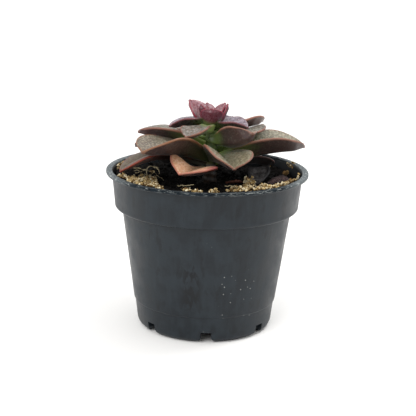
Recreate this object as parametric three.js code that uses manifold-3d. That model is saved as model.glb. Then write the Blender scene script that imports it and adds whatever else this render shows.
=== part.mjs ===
// A rosette succulent with folded, fleshy, dusky leaves, growing in a round 9 cm nursery pot.
// Millimetres, +Z up. The origin is the middle of the pot's foot, on the surface it stands on.
// -Y is the side that faces a viewer standing in front, +X is on their right. Azimuths are in
// degrees, counted anticlockwise from +X seen from above, so 270 points at the viewer.
import * as THREE from 'three';
import { mergeVertices } from 'three/addons/utils/BufferGeometryUtils.js';
import Module from 'manifold-3d';

const wasm = await Module();
wasm.setup();
const { Manifold, Mesh } = wasm;

// Driving sizes of the pot.
const RIM_RADIUS = 45;
const POT_HEIGHT = 71;
const FOOT_RADIUS = 28;
const LIP_WIDTH = 2.7;
const LIP_DEPTH = 1.4;
const COLLAR_BOTTOM = 56.6;
const WALL = 1.1;
const BODY_TOP_RADIUS = 37.9;
const BODY_TOP = 54.2;
const BAND_TOP = 12;
const BAND_TOP_RADIUS = 31.6;
const BAND_STEP = 0.5;
const FLOOR_UNDERSIDE = 2.2;
const FLOOR_TOP = 3.2;
const FOOT_RING_WIDTH = 1.5;
const POT_SEGMENTS = 40;

// Drain notches in the foot.
const NOTCH_COUNT = 7;
const FIRST_NOTCH_AZIMUTH = 272;
const NOTCH_HEIGHT = 5.1;
const NOTCH_TOP_WIDTH = 4.6;
const NOTCH_FOOT_WIDTH = 9.4;
const NOTCH_STRAIGHT_FROM = 2.6;
const NOTCH_INNER_RADIUS = 21;

// Soil, stem and the gap that keeps touching pieces apart.
const GAP = 0.3;
const CUT_TOLERANCE = 0.06;
const SOIL_LEVEL = 65.2;
const SOIL_HEAP = 3.0;
const HEAP_AZIMUTH = 235;
const STEM_X = 1;
const STEM_RADIUS = 3.2;
const STEM_BOTTOM = 50;
const STEM_TOP = 92.6;

// Leaf form shared by all leaves. Stations are shares of the midrib's length.
const LEAF_ROOT_RADIUS = 2;
const LEAF_ROOT_SUNK = 1.5;
const MIDRIB_THICKNESS = 1.3;
const MIDRIB_THICKNESS_PER_WIDTH = 0.1;
const MARGIN_THICKNESS = 0.6;
const MARGIN_THICKNESS_PER_WIDTH = 0.03;
const THICKEST_MARGIN = 1.25;
const LEAST_THICKNESS = 0.7;
const TIP_HALF_WIDTH = 0.35;
const WIDE_LEAF = 12.3;
const WIDE_LEAF_STATIONS = [0, 0.14, 0.3, 0.45, 0.6, 0.72, 0.84, 0.93, 0.98, 1];
const SMALL_LEAF_STATIONS = [0, 0.2, 0.42, 0.6, 0.78, 0.92, 1];

// Blade forms: how far along the midrib the blade is widest, its waist at the stem as a share of
// its width, how late it swells from the waist, and the power and roundness of its tip.
const bladeForm = (widestAt, waist, shoulder, tipPower, tipRound) => (
  { widestAt, waist, shoulder, tipPower, tipRound });
const COMMON = bladeForm(0.62, 0.42, 1, 2.3, 0.6);
const POINTED = bladeForm(0.58, 0.42, 1, 1.95, 0.62);
const BLUNT = bladeForm(0.6, 0.4, 1, 2.6, 0.52);
const CUPPED = bladeForm(0.57, 0.82, 1, 2.7, 0.5);
const BROAD = bladeForm(0.66, 0.3, 1, 2.3, 0.6);
const SPATHULATE = bladeForm(0.65, 0.22, 6, 1.65, 0.82);
const PADDLE = bladeForm(0.69, 0.28, 3.8, 1.8, 0.62);
const ROUND = bladeForm(0.57, 0.3, 1, 1.9, 0.53);
const SCOOP = bladeForm(0.68, 0.38, 1.8, 2.7, 0.52);
const KEEL = bladeForm(0.57, 0.26, 1, 3, 0.45);
const APRON = bladeForm(0.7, 0.4, 3, 1.7, 0.64);

const COLOURS = {
  pot: 0x33373b, soil: 0x17130f, grit: 0xb59a66, stem: 0x6f8a4a,
  outer: 0x6d5b55, inner: 0x80566a, heart: 0x9a4f68, old: 0xb4654c,
  grey: 0x4b484a, purple: 0x5b3238, red: 0x8a4331,
};

// Each leaf: azimuth, height of its base on the stem, length along the midrib, width of the
// opened blade, rise at base and at tip, fold of each half at the midrib and at the margin,
// roll about the midrib and sideways swing, all angles in degrees. Thick is the blade's
// thickness at the midrib, which grows with the width where it isn't given.
const leaf = (azimuth, base, length, width, rise, tipRise, fold, cup, roll, swing, form, extra = {}) => ({
  azimuth, base, length, width, rise, tipRise, fold, cup, roll, swing,
  thick: MIDRIB_THICKNESS + MIDRIB_THICKNESS_PER_WIDTH * width, ...form, ...extra,
});

const LEAVES = {
  heart: [
    leaf(157, 90.9, 12.6, 12.2, 53, 59, 34, 18, -13, 2, POINTED),
    leaf(275, 94, 6.5, 10.4, 35, 77, 24, 11, -1, -13, CUPPED),
    leaf(41, 91.7, 9.6, 7.6, 55, 65, 38, 17, -10, -1, COMMON),
    leaf(12, 91.8, 9.4, 4.8, 52, 74, 30, 12, 4, 0, COMMON),
    leaf(212, 92.4, 8.4, 5.5, 66, 82, 36, 20, 0, 0, POINTED),
    leaf(104, 92.2, 8.4, 7, 52, 70, 36, 20, 0, 0, COMMON),
  ],
  upper: [
    leaf(342, 92, 13.4, 13.6, -5, 2, 41, 15, 1, 3, COMMON),
    leaf(187, 93.4, 14.9, 12.4, -7, -11, 42, 3, 7, 3, POINTED),
    leaf(50, 90.4, 10.5, 9, 8, 24, 36, 16, 0, 0, BLUNT),
    leaf(118, 90.6, 13, 11.5, 0, 2, 38, 18, 0, 0, COMMON),
  ],
  middle: [
    leaf(248, 91.5, 16.3, 14.6, 0, -18, 14, 18, 3, -24, APRON, { thick: 3 }),
    leaf(37, 88, 26.6, 15.6, 7, 4, 40, 1, -15, 3, COMMON),
    leaf(17, 88.4, 22.2, 15.6, -4, 15, 9, -32, -11, 14, SCOOP),
    leaf(306, 85, 24.3, 19.8, -13, 50, 68, 16, -20, 20, KEEL),
    leaf(175, 83.6, 28.8, 18.5, 16, -2, 32, 5, 7, 4, COMMON),
    leaf(88, 86, 27, 17, 1, 2, 36, 16, 0, 2, COMMON),
    leaf(131, 85, 26, 17, -2, -4, 36, 14, 2, 2, COMMON),
  ],
  outer: [
    leaf(216, 79, 34.6, 24.8, 15, 0, 33, 21, 5, 9, BROAD),
    leaf(297, 77.4, 23.4, 26.4, 0, 0, 53, 13, -9, -9, ROUND, { thick: 2.7 }),
    leaf(7, 76.4, 40.2, 21.6, 10, 2, 55, 35, 3, 12, POINTED),
    leaf(62, 80, 33, 21, 5, 0, 40, 22, 2, 3, COMMON),
    leaf(110, 80.5, 32, 21, 3, 1, 40, 20, 0, 3, COMMON),
    leaf(157, 79, 33, 20, 1, -2, 40, 20, -2, 2, COMMON),
  ],
  low: [
    leaf(253, 71.7, 28, 26.4, 5, 10, 50, 9, -9, -15, SPATHULATE, { thick: 1.8 }),
    leaf(195, 75.9, 39.6, 17, 19, -33, 25, -3, 8, 12, PADDLE),
    leaf(30, 74, 31, 15, 6, -22, 34, 16, 0, 4, COMMON),
    leaf(88, 74.5, 27, 17, 6, -20, 32, 14, 0, 3, COMMON),
    leaf(138, 74, 28, 17, 4, -24, 32, 14, 0, -3, COMMON),
  ],
};

// Small helpers.
const radians = THREE.MathUtils.degToRad;
const smooth = (low, high, value) => THREE.MathUtils.smoothstep(value, low, high);

function seededRandom(seed) {
  let state = seed;
  return () => {
    state = (state * 1664525 + 1013904223) % 4294967296;
    return state / 4294967296;
  };
}

function solidFromArrays(positions, triangles) {
  return new Manifold(new Mesh({
    numProp: 3,
    vertProperties: new Float32Array(positions),
    triVerts: new Uint32Array(triangles),
  }));
}

function solidFromGeometry(geometry) {
  const bare = geometry.clone();
  bare.deleteAttribute('normal');
  bare.deleteAttribute('uv');
  const merged = mergeVertices(bare, 1e-4);
  return solidFromArrays(merged.attributes.position.array, merged.index.array);
}

function geometryFromSolid(solid) {
  const mesh = solid.getMesh();
  const geometry = new THREE.BufferGeometry();
  geometry.setAttribute('position', new THREE.BufferAttribute(mesh.vertProperties.slice(), 3));
  geometry.setIndex(new THREE.BufferAttribute(mesh.triVerts.slice(), 1));
  geometry.computeVertexNormals();
  return geometry;
}

function largestPiece(solid) {
  const pieces = solid.decompose();
  return pieces.reduce((best, piece) => (piece.volume() > best.volume() ? piece : best));
}

// A lathe's outline is given as [radius, height] pairs and turned about +Z.
function turned(outline, segments) {
  const points = outline.map(([radius, height]) => new THREE.Vector2(radius, height));
  const geometry = new THREE.LatheGeometry(points, segments);
  geometry.rotateX(Math.PI / 2);
  return solidFromGeometry(geometry);
}

// A rounded corner from one outline point to another, bulging towards the corner between them.
function roundedCorner(from, corner, to, steps) {
  const curve = new THREE.QuadraticBezierCurve(
    new THREE.Vector2(...from), new THREE.Vector2(...corner), new THREE.Vector2(...to));
  return curve.getPoints(steps).map((point) => [point.x, point.y]);
}

// The pot: body wall, collar and lip in one thin wall, on a foot ring with notches.
const collarRadius = RIM_RADIUS - LIP_WIDTH + 0.1;
const collarBottomRadius = collarRadius - 1.3;
const bodySlope = (BODY_TOP_RADIUS - BAND_TOP_RADIUS - BAND_STEP) / (BODY_TOP - BAND_TOP);

function bodyOuterRadius(height) {
  return BODY_TOP_RADIUS - (BODY_TOP - height) * bodySlope;
}

function potInnerRadius(height) {
  if (height > COLLAR_BOTTOM) {
    const up = (height - COLLAR_BOTTOM) / (POT_HEIGHT - COLLAR_BOTTOM);
    return collarBottomRadius - WALL + up * (collarRadius - collarBottomRadius);
  }
  return bodyOuterRadius(Math.min(height, BODY_TOP - 1)) - WALL;
}

function potOutline() {
  const footInner = FOOT_RADIUS - FOOT_RING_WIDTH;
  const outside = [
    [0, FLOOR_UNDERSIDE],
    [footInner - 0.6, FLOOR_UNDERSIDE],
    [footInner, 0],
    [FOOT_RADIUS - 0.3, 0],
    ...roundedCorner([FOOT_RADIUS, 0.2], [30.2, 1.8], [30.7, 4.6], 2),
    [BAND_TOP_RADIUS, BAND_TOP],
    [BAND_TOP_RADIUS + BAND_STEP, BAND_TOP + 0.5],
    [BODY_TOP_RADIUS, BODY_TOP],
    ...roundedCorner([BODY_TOP_RADIUS + 1.6, BODY_TOP + 0.3],
      [collarBottomRadius - 0.1, BODY_TOP + 0.6], [collarBottomRadius, COLLAR_BOTTOM], 2),
    [collarRadius, POT_HEIGHT - LIP_DEPTH],
    [RIM_RADIUS - 0.5, POT_HEIGHT - LIP_DEPTH],
    [RIM_RADIUS, POT_HEIGHT - LIP_DEPTH + 0.4],
    [RIM_RADIUS, POT_HEIGHT - 0.4],
    [RIM_RADIUS - 0.6, POT_HEIGHT],
  ];
  const inside = [
    [RIM_RADIUS - LIP_WIDTH, POT_HEIGHT],
    [potInnerRadius(COLLAR_BOTTOM + 0.2), COLLAR_BOTTOM + 0.2],
    [potInnerRadius(BODY_TOP - 1), BODY_TOP - 1],
    [potInnerRadius(BAND_TOP), BAND_TOP],
    [bodyOuterRadius(FLOOR_TOP) - WALL - 0.9, FLOOR_TOP + 1.5],
    [bodyOuterRadius(FLOOR_TOP) - WALL - 2, FLOOR_TOP],
    [0, FLOOR_TOP],
  ];
  return [...outside, ...inside];
}

// A notch is a flared slot: straight at the top, its lower corners swept out to the foot.
function notchCutter(azimuth) {
  const half = NOTCH_TOP_WIDTH / 2;
  const foot = NOTCH_FOOT_WIDTH / 2;
  const shape = new THREE.Shape();
  shape.moveTo(-foot, -1);
  shape.lineTo(foot, -1);
  shape.lineTo(foot, 0);
  shape.quadraticCurveTo(half + 0.5, 0.7, half, NOTCH_STRAIGHT_FROM);
  shape.lineTo(half, NOTCH_HEIGHT);
  shape.lineTo(-half, NOTCH_HEIGHT);
  shape.lineTo(-half, NOTCH_STRAIGHT_FROM);
  shape.quadraticCurveTo(-half - 0.5, 0.7, -foot, 0);
  const depth = FOOT_RADIUS + 8 - NOTCH_INNER_RADIUS;
  const geometry = new THREE.ExtrudeGeometry(shape, { depth, bevelEnabled: false, curveSegments: 3 });
  geometry.rotateX(Math.PI / 2);
  geometry.translate(0, depth + NOTCH_INNER_RADIUS, 0);
  geometry.rotateZ(radians(azimuth - 90));
  return solidFromGeometry(geometry);
}

function makePot() {
  let pot = turned(potOutline(), POT_SEGMENTS);
  for (let i = 0; i < NOTCH_COUNT; i += 1) {
    pot = pot.subtract(notchCutter(FIRST_NOTCH_AZIMUTH + (i * 360) / NOTCH_COUNT));
  }
  return pot;
}

// Soil height: flat in the middle, heaped against the wall at the front left, and crumbly.
function soilHeight(x, y) {
  const radius = Math.hypot(x, y);
  const azimuth = Math.atan2(y, x);
  const side = 0.5 + 0.5 * Math.cos(azimuth - radians(HEAP_AZIMUTH));
  const heap = SOIL_HEAP * smooth(14, 40, radius) * side;
  const swell = 0.35 * Math.sin(0.31 * x + 1.1) * Math.cos(0.27 * y - 0.4);
  const crumb = 0.32 * Math.sin(1.9 * x + 0.8 * y) * Math.cos(1.7 * y - 0.6 * x);
  return SOIL_LEVEL + heap + (swell + crumb) * smooth(4, 9, radius);
}

// The soil body, with its top lifted by a given amount to cut a clear gap under other pieces.
function soilBody(lift) {
  const topRings = [5, 10, 15, 20, 25, 30, 34.5, 38, 40.6];
  const sideRings = [
    [62, 0], [COLLAR_BOTTOM + 0.4, 0], [BODY_TOP - 1, 0], [BAND_TOP + 0.5, 0],
    [FLOOR_TOP + 2.2, 1.1], [FLOOR_TOP + GAP, 2.2],
  ];
  const rows = [
    ...topRings.map((radius) => [radius, null]),
    ...sideRings.map(([height, inset]) => [potInnerRadius(height) - GAP - inset, height]),
  ];
  const positions = [0, 0, soilHeight(0, 0) + lift];
  const triangles = [];
  const ringVertex = (ring, step) => 1 + ring * POT_SEGMENTS + (step % POT_SEGMENTS);
  rows.forEach(([radius, height]) => {
    for (let step = 0; step < POT_SEGMENTS; step += 1) {
      const angle = (step / POT_SEGMENTS) * Math.PI * 2;
      const x = radius * Math.cos(angle);
      const y = radius * Math.sin(angle);
      positions.push(x, y, height ?? soilHeight(x, y) + lift);
    }
  });
  positions.push(0, 0, FLOOR_TOP + GAP);
  const last = rows.length - 1;
  const bottom = positions.length / 3 - 1;
  for (let step = 0; step < POT_SEGMENTS; step += 1) {
    triangles.push(0, ringVertex(0, step), ringVertex(0, step + 1));
    triangles.push(bottom, ringVertex(last, step + 1), ringVertex(last, step));
    for (let row = 0; row < last; row += 1) {
      const a = ringVertex(row, step);
      const b = ringVertex(row + 1, step);
      const c = ringVertex(row + 1, step + 1);
      const d = ringVertex(row, step + 1);
      triangles.push(a, b, c, a, c, d);
    }
  }
  return solidFromArrays(positions, triangles);
}

// The stem: a short fleshy post that narrows towards the heart of the rosette.
function makeStem(grow = 0) {
  const radius = STEM_RADIUS + grow;
  const outline = [
    [0, STEM_BOTTOM - grow], [radius, STEM_BOTTOM - grow], [radius, 82], [radius - 0.5, 87],
    [radius - 1.3, 90], [radius - 2, 92], [radius - 2.6, STEM_TOP + grow], [0, STEM_TOP + grow],
  ];
  return turned(outline, 14).translate([STEM_X, 0, 0]);
}

// Half width of a leaf along its midrib: a narrow waist at the stem, widest past the middle,
// then a round shoulder drawn into a short point.
function halfWidth(spec, s) {
  const half = spec.width / 2;
  if (s < spec.widestAt) {
    const swell = Math.sin(((s / spec.widestAt) ** spec.shoulder) * Math.PI / 2) ** 1.3;
    return half * (spec.waist + (1 - spec.waist) * swell);
  }
  const along = (s - spec.widestAt) / (1 - spec.widestAt);
  return Math.max(half * (1 - along ** spec.tipPower) ** spec.tipRound, TIP_HALF_WIDTH);
}

// The frame that travels along the midrib: place, forward, sideways and upward directions.
function midrib(spec) {
  const steps = 100;
  const frames = [];
  const place = new THREE.Vector3(
    STEM_X + LEAF_ROOT_RADIUS * Math.cos(radians(spec.azimuth)),
    LEAF_ROOT_RADIUS * Math.sin(radians(spec.azimuth)),
    spec.base - LEAF_ROOT_SUNK * Math.sin(radians(spec.rise)));
  const length = spec.length + LEAF_ROOT_SUNK;
  if (spec.start) {
    place.set(...spec.start, spec.base);
  }
  for (let i = 0; i <= steps; i += 1) {
    const s = i / steps;
    const rise = radians(spec.rise + (spec.tipRise - spec.rise) * s ** 1.3);
    const turn = radians(spec.azimuth + spec.swing * s);
    const forward = new THREE.Vector3(
      Math.cos(rise) * Math.cos(turn), Math.cos(rise) * Math.sin(turn), Math.sin(rise));
    const level = new THREE.Vector3(-Math.sin(turn), Math.cos(turn), 0);
    const upright = forward.clone().cross(level);
    const roll = radians(spec.roll);
    const sideways = level.clone().multiplyScalar(Math.cos(roll)).addScaledVector(upright, Math.sin(roll));
    const upward = forward.clone().cross(sideways);
    frames.push({ place: place.clone(), forward, sideways, upward });
    place.addScaledVector(forward, length / steps);
  }
  return (s) => frames[Math.round(s * steps)];
}

// A blade is thickest at the midrib near its root, and thins towards the margins and the tip.
function bladeThickness(spec, s, u) {
  const late = 1 - 0.2 * smooth(0.3, 0.85, s) - 0.4 * smooth(0.85, 1, s);
  const taper = s < 0.3 ? 1.25 - (0.25 * s) / 0.3 : late;
  const margin = MARGIN_THICKNESS + MARGIN_THICKNESS_PER_WIDTH * spec.width;
  const edge = Math.min(margin, THICKEST_MARGIN, spec.thick);
  return Math.max(((spec.thick - edge) * (1 - u * u) + edge) * taper, LEAST_THICKNESS);
}

// A leaf as a closed solid. Across the blade the fold angle runs evenly from the midrib to the
// margin, so each half is an arc; the blade is thickest at the midrib. With grow, the same leaf
// is thickened all round, to cut its neighbours clear of it.
function makeLeaf(spec, grow = 0) {
  const wide = spec.width > WIDE_LEAF;
  const across = wide ? 3 : 2;
  const stations = wide ? WIDE_LEAF_STATIONS : SMALL_LEAF_STATIONS;
  const frameAt = midrib(spec);
  const positions = [];
  const triangles = [];
  const columns = 2 * across + 1;
  const ringSize = 2 * columns;
  stations.forEach((s, station) => {
    const { place, forward, sideways, upward } = frameAt(s);
    const endShift = { 0: -grow, [stations.length - 1]: grow }[station] ?? 0;
    const relax = 1 - 0.2 * smooth(0.6, 1, s);
    const fold = radians(spec.fold) * relax;
    const bend = radians(spec.cup - spec.fold) * relax;
    const half = halfWidth(spec, s);
    const upper = [];
    const lower = [];
    for (let column = -across; column <= across; column += 1) {
      const u = Math.abs(column) / across;
      const side = Math.sign(column);
      const angle = fold + bend * u;
      const out = (Math.sin(angle) - Math.sin(fold)) / bend;
      const up = (Math.cos(fold) - Math.cos(angle)) / bend;
      const margin = u === 1 ? grow : 0;
      const outward = sideways.clone().multiplyScalar(side * Math.cos(angle))
        .addScaledVector(upward, Math.sin(angle));
      const normal = upward.clone().multiplyScalar(Math.cos(angle))
        .addScaledVector(sideways, -side * Math.sin(angle));
      const top = place.clone().addScaledVector(forward, endShift)
        .addScaledVector(sideways, side * half * out)
        .addScaledVector(upward, half * up)
        .addScaledVector(outward, margin);
      upper.push(top.clone().addScaledVector(upward, grow / Math.cos(angle)));
      lower.push(top.clone().addScaledVector(normal, -bladeThickness(spec, s, u) - grow));
    }
    [...upper, ...lower.reverse()].forEach((point) => positions.push(point.x, point.y, point.z));
  });
  const rings = stations.length;
  for (let ring = 0; ring < rings - 1; ring += 1) {
    for (let step = 0; step < ringSize; step += 1) {
      const next = (step + 1) % ringSize;
      const a = ring * ringSize + step;
      const b = ring * ringSize + next;
      const c = (ring + 1) * ringSize + next;
      const d = (ring + 1) * ringSize + step;
      triangles.push(a, d, c, a, c, b);
    }
  }
  for (let step = 0; step < columns - 1; step += 1) {
    const start = [step, step + 1, ringSize - 2 - step, ringSize - 1 - step];
    const end = start.map((index) => index + (rings - 1) * ringSize);
    triangles.push(start[0], start[1], start[2], start[0], start[2], start[3]);
    triangles.push(end[0], end[2], end[1], end[0], end[3], end[2]);
  }
  return solidFromArrays(positions, triangles);
}

// Withered leaves lie on the soil: the same form, started from a point on the ground.
const WITHERED = {
  dry_leaf_grey: leaf(68, 66.1, 15, 12, 10, 24, 8, 58, -8, 25, COMMON, { start: [21, -7], thick: 0.9 }),
  dry_leaf_purple: leaf(12, 66.4, 12.5, 8, 18, -30, 46, 4, 14, 30, COMMON, { start: [27, -8], thick: 1.2 }),
  dry_leaf_red: leaf(4, 66, 6.5, 3, 12, -12, 30, 10, 0, 10, COMMON, { start: [8.2, -4], thick: 0.9 }),
};

// Half sizes of the grains, and the drifts of tan grit that they lie in: each drift's sector in
// azimuth, its inner radius and the height that it reaches at the wall.
const GRAIN_SIZES = [0.85, 1.5];
const DRIFTS = {
  grit_left: { from: 150, to: 243, inner: 25, wallTop: 69.9, grains: 34, seed: 11 },
  grit_front: { from: 250, to: 338, inner: 23, wallTop: 70.2, grains: 34, seed: 23 },
  grit_back: { from: 22, to: 52, inner: 35.5, wallTop: 67.6, grains: 8, seed: 37 },
};

// A drift's top: a thin scatter at its inner edge that climbs to the wall.
function driftTop(drift, x, y) {
  const radius = Math.hypot(x, y);
  const along = smooth(drift.inner, 40.5, radius);
  const ground = soilHeight(x, y);
  return ground + 0.75 + Math.max(drift.wallTop - ground - 0.75, 0) * along ** 2;
}

function driftMound(drift) {
  const steps = Math.max(4, Math.round((drift.to - drift.from) / 8));
  const rows = 4;
  const outer = potInnerRadius(SOIL_LEVEL - 1) - GAP;
  const positions = [];
  const triangles = [];
  const size = (rows + 1) * (steps + 1);
  for (const side of ['top', 'bottom']) {
    for (let step = 0; step <= steps; step += 1) {
      const angle = radians(drift.from + ((drift.to - drift.from) * step) / steps);
      const ragged = 2.2 * Math.sin(step * 2.3 + drift.seed) + (step === 0 || step === steps ? 5 : 0);
      for (let row = 0; row <= rows; row += 1) {
        const radius = THREE.MathUtils.lerp(Math.min(drift.inner + ragged, outer - 3), outer, row / rows);
        const x = radius * Math.cos(angle);
        const y = radius * Math.sin(angle);
        positions.push(x, y, side === 'top' ? driftTop(drift, x, y) : SOIL_LEVEL - 1.5);
      }
    }
  }
  const at = (step, row, side) => side * size + step * (rows + 1) + row;
  const quad = (a, b, c, d) => triangles.push(a, b, c, a, c, d);
  for (let step = 0; step < steps; step += 1) {
    for (let row = 0; row < rows; row += 1) {
      quad(at(step, row, 0), at(step, row + 1, 0), at(step + 1, row + 1, 0), at(step + 1, row, 0));
      quad(at(step, row, 1), at(step + 1, row, 1), at(step + 1, row + 1, 1), at(step, row + 1, 1));
    }
    quad(at(step, 0, 0), at(step + 1, 0, 0), at(step + 1, 0, 1), at(step, 0, 1));
    quad(at(step, rows, 0), at(step, rows, 1), at(step + 1, rows, 1), at(step + 1, rows, 0));
  }
  for (let row = 0; row < rows; row += 1) {
    quad(at(0, row, 0), at(0, row, 1), at(0, row + 1, 1), at(0, row + 1, 0));
    quad(at(steps, row, 0), at(steps, row + 1, 0), at(steps, row + 1, 1), at(steps, row, 1));
  }
  return solidFromArrays(positions, triangles);
}

// A drift: its mound with angular grains sunk half way into it.
function makeDrift(drift) {
  const random = seededRandom(drift.seed);
  let solid = driftMound(drift);
  for (let i = 0; i < drift.grains; i += 1) {
    const size = THREE.MathUtils.lerp(GRAIN_SIZES[0], GRAIN_SIZES[1], random());
    const angle = radians(THREE.MathUtils.lerp(drift.from + 3, drift.to - 3, random()));
    const radius = THREE.MathUtils.lerp(drift.inner + 3, 40 - size, Math.sqrt(random()));
    const x = radius * Math.cos(angle);
    const y = radius * Math.sin(angle);
    const grain = new THREE.OctahedronGeometry(size, 0);
    grain.scale(1, 0.85, 0.8);
    grain.rotateX(random() * 3);
    grain.rotateZ(random() * 6);
    grain.translate(x, y, driftTop(drift, x, y) + 0.25 * size);
    solid = solid.add(solidFromGeometry(grain));
  }
  return solid;
}

function boxesTouch(first, second) {
  const a = first.boundingBox();
  const b = second.boundingBox();
  return [0, 1, 2].every((axis) => a.min[axis] < b.max[axis] && b.min[axis] < a.max[axis]);
}

function cutClear(solid, keepOuts) {
  let result = solid;
  for (const keepOut of keepOuts) {
    if (boxesTouch(result, keepOut)) {
      result = result.subtract(keepOut);
    }
  }
  return largestPiece(result).simplify(CUT_TOLERANCE);
}

// Assembly. Leaves are set from the heart outwards: each lower leaf gives way, near its root,
// to the stem and to the leaves above it.
const plant = new THREE.Group();

function addPiece(name, solid, color, roughness) {
  const material = new THREE.MeshStandardMaterial({ color, roughness, metalness: 0 });
  const mesh = new THREE.Mesh(geometryFromSolid(solid), material);
  mesh.name = name;
  plant.add(mesh);
}

const RING_COLOURS = {
  heart: COLOURS.heart, upper: COLOURS.inner, middle: COLOURS.outer, outer: COLOURS.outer, low: COLOURS.old,
};

addPiece('pot', makePot(), COLOURS.pot, 0.6);
addPiece('soil', soilBody(0).subtract(makeStem(GAP)), COLOURS.soil, 1);
addPiece('stem', makeStem(), COLOURS.stem, 0.5);

const leafKeepOuts = [];
const stemKeepOut = makeStem(GAP);
const groundKeepOut = soilBody(GAP);
for (const [ring, specs] of Object.entries(LEAVES)) {
  specs.forEach((spec, index) => {
    const solid = cutClear(makeLeaf(spec), [stemKeepOut, ...leafKeepOuts]);
    leafKeepOuts.push(makeLeaf(spec, GAP));
    addPiece(`leaf_${ring}_${index + 1}`, solid, RING_COLOURS[ring], 0.45);
  });
}

const witheredKeepOuts = [];
for (const [name, spec] of Object.entries(WITHERED)) {
  const solid = cutClear(makeLeaf(spec), [groundKeepOut, stemKeepOut, ...leafKeepOuts, ...witheredKeepOuts]);
  witheredKeepOuts.push(makeLeaf(spec, GAP));
  addPiece(name, solid, COLOURS[name.split('_').pop()], 0.8);
}
for (const [name, drift] of Object.entries(DRIFTS)) {
  const solid = cutClear(makeDrift(drift), [groundKeepOut, ...leafKeepOuts, ...witheredKeepOuts]);
  addPiece(name, solid, COLOURS.grit, 0.95);
}

export default plant;
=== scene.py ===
"""The dressed model of a potted echeveria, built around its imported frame.

Everything is worked out in millimetres in the part's own frame: the origin is the middle of the
pot's foot, +Z is up and -Y faces the viewer. Azimuths are in degrees, anticlockwise from +X seen
from above. Meshes are turned into metres as they are made.
"""

import logging
import math
from dataclasses import dataclass, field, replace
from enum import Enum
from functools import reduce
from typing import Optional, Sequence

import bpy
import numpy as np
from mathutils import Matrix


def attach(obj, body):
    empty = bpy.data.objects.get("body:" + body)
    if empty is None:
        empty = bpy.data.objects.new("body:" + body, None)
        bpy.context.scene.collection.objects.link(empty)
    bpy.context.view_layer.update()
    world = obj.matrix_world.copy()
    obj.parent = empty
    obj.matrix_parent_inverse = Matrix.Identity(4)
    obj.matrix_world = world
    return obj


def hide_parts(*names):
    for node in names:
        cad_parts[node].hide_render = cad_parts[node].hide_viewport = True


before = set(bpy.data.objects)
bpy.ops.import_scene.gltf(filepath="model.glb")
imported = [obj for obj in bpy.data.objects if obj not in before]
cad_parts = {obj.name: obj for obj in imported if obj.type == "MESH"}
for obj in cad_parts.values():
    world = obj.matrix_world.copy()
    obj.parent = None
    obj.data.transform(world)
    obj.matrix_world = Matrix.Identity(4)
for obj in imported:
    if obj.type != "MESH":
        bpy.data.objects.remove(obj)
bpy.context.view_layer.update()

MM = 0.001
BODY = "root"
FULL_TURN = 2 * math.pi
LOG = logging.getLogger("potted_echeveria")

Array = np.ndarray
Colour = tuple[float, float, float, float]
Point = tuple[float, float, float]
Socket = bpy.types.NodeSocket
Span = tuple[float, float]
Octaves = tuple[tuple[float, float, int], ...]


# Numbers and shapes shared by all the pieces.

def ink(code: str) -> Colour:
    """A colour for a shader from its sRGB code, such as 'a0b1c2'.

    Args:
        code: six hexadecimal digits, red first.

    Returns:
        Linear red, green, blue and an alpha of 1.
    """
    parts = np.array([int(code[i:i + 2], 16) for i in (0, 2, 4)]) / 255
    linear = np.where(parts <= 0.04045, parts / 12.92, ((parts + 0.055) / 1.055) ** 2.4)
    return (*[float(part) for part in linear], 1.0)


def smooth(low: float, high: float, value: Array) -> Array:
    """The smooth step: 0 below low, 1 above high, and 3t^2 - 2t^3 between."""
    t = np.clip((value - low) / (high - low), 0, 1)
    return t * t * (3 - 2 * t)


def polar(radius: Array, azimuth: Array, height: Array) -> Array:
    """Points from radius, azimuth in radians and height, as an array ending in x, y, z."""
    radius, azimuth, height = np.broadcast_arrays(radius, azimuth, height)
    return np.stack([radius * np.cos(azimuth), radius * np.sin(azimuth), height], axis=-1)


def curve(t: Array, first: Array, middle: Array, last: Array) -> Array:
    """The quadratic curve from the first point to the last, drawn towards the middle one."""
    return (1 - t) ** 2 * first + 2 * t * (1 - t) * middle + t ** 2 * last


# The hash of the lattice noise: a prime for each axis and the seed, and the rounds of mixing.
AXIS_PRIMES = np.array([73856093, 19349663, 83492791])
SEED_PRIME = 2654435761
MIXING = ((15, 2246822519), (13, 3266489917))
WORD = 0xFFFFFFFF


def lattice_noise(points: Array, size: float, seed: int = 0) -> Array:
    """Smooth noise from -1 to 1.

    Formula: every corner of a cubic lattice with cells of the given size holds a value hashed
    from its whole-number place, and a point blends its cell's eight corners by the smooth step
    along each axis.

    Args:
        points: an array ending in x, y, z.
        size: the lattice's cell, in the points' unit.
        seed: picks one noise among many.

    Returns:
        One value for each point.
    """
    cell = np.asarray(points) / size + 1000
    low = np.floor(cell).astype(np.int64)
    t = cell - low
    t = t * t * (3 - 2 * t)
    total = np.zeros(cell.shape[:-1])
    for corner in np.ndindex(2, 2, 2):
        key = np.bitwise_xor.reduce((low + np.array(corner)) * AXIS_PRIMES, axis=-1)
        key = (key ^ seed * SEED_PRIME) & WORD
        for shift, prime in MIXING:
            key = (key ^ key >> shift) * prime & WORD
        value = ((key ^ key >> 16) & 0xFFFF) / 32767.5 - 1
        total += value * np.prod(np.where(np.array(corner) == 1, t, 1 - t), axis=-1)
    return total


def rubble(x: Array, y: Array, octaves: Octaves) -> Array:
    """Noise over the plane: the sum of octaves, each a strength, a size and a seed."""
    flat = np.stack([x, y, np.zeros_like(x)], axis=-1)
    return sum(strength * lattice_noise(flat, size, seed) for strength, size, seed in octaves)


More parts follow.
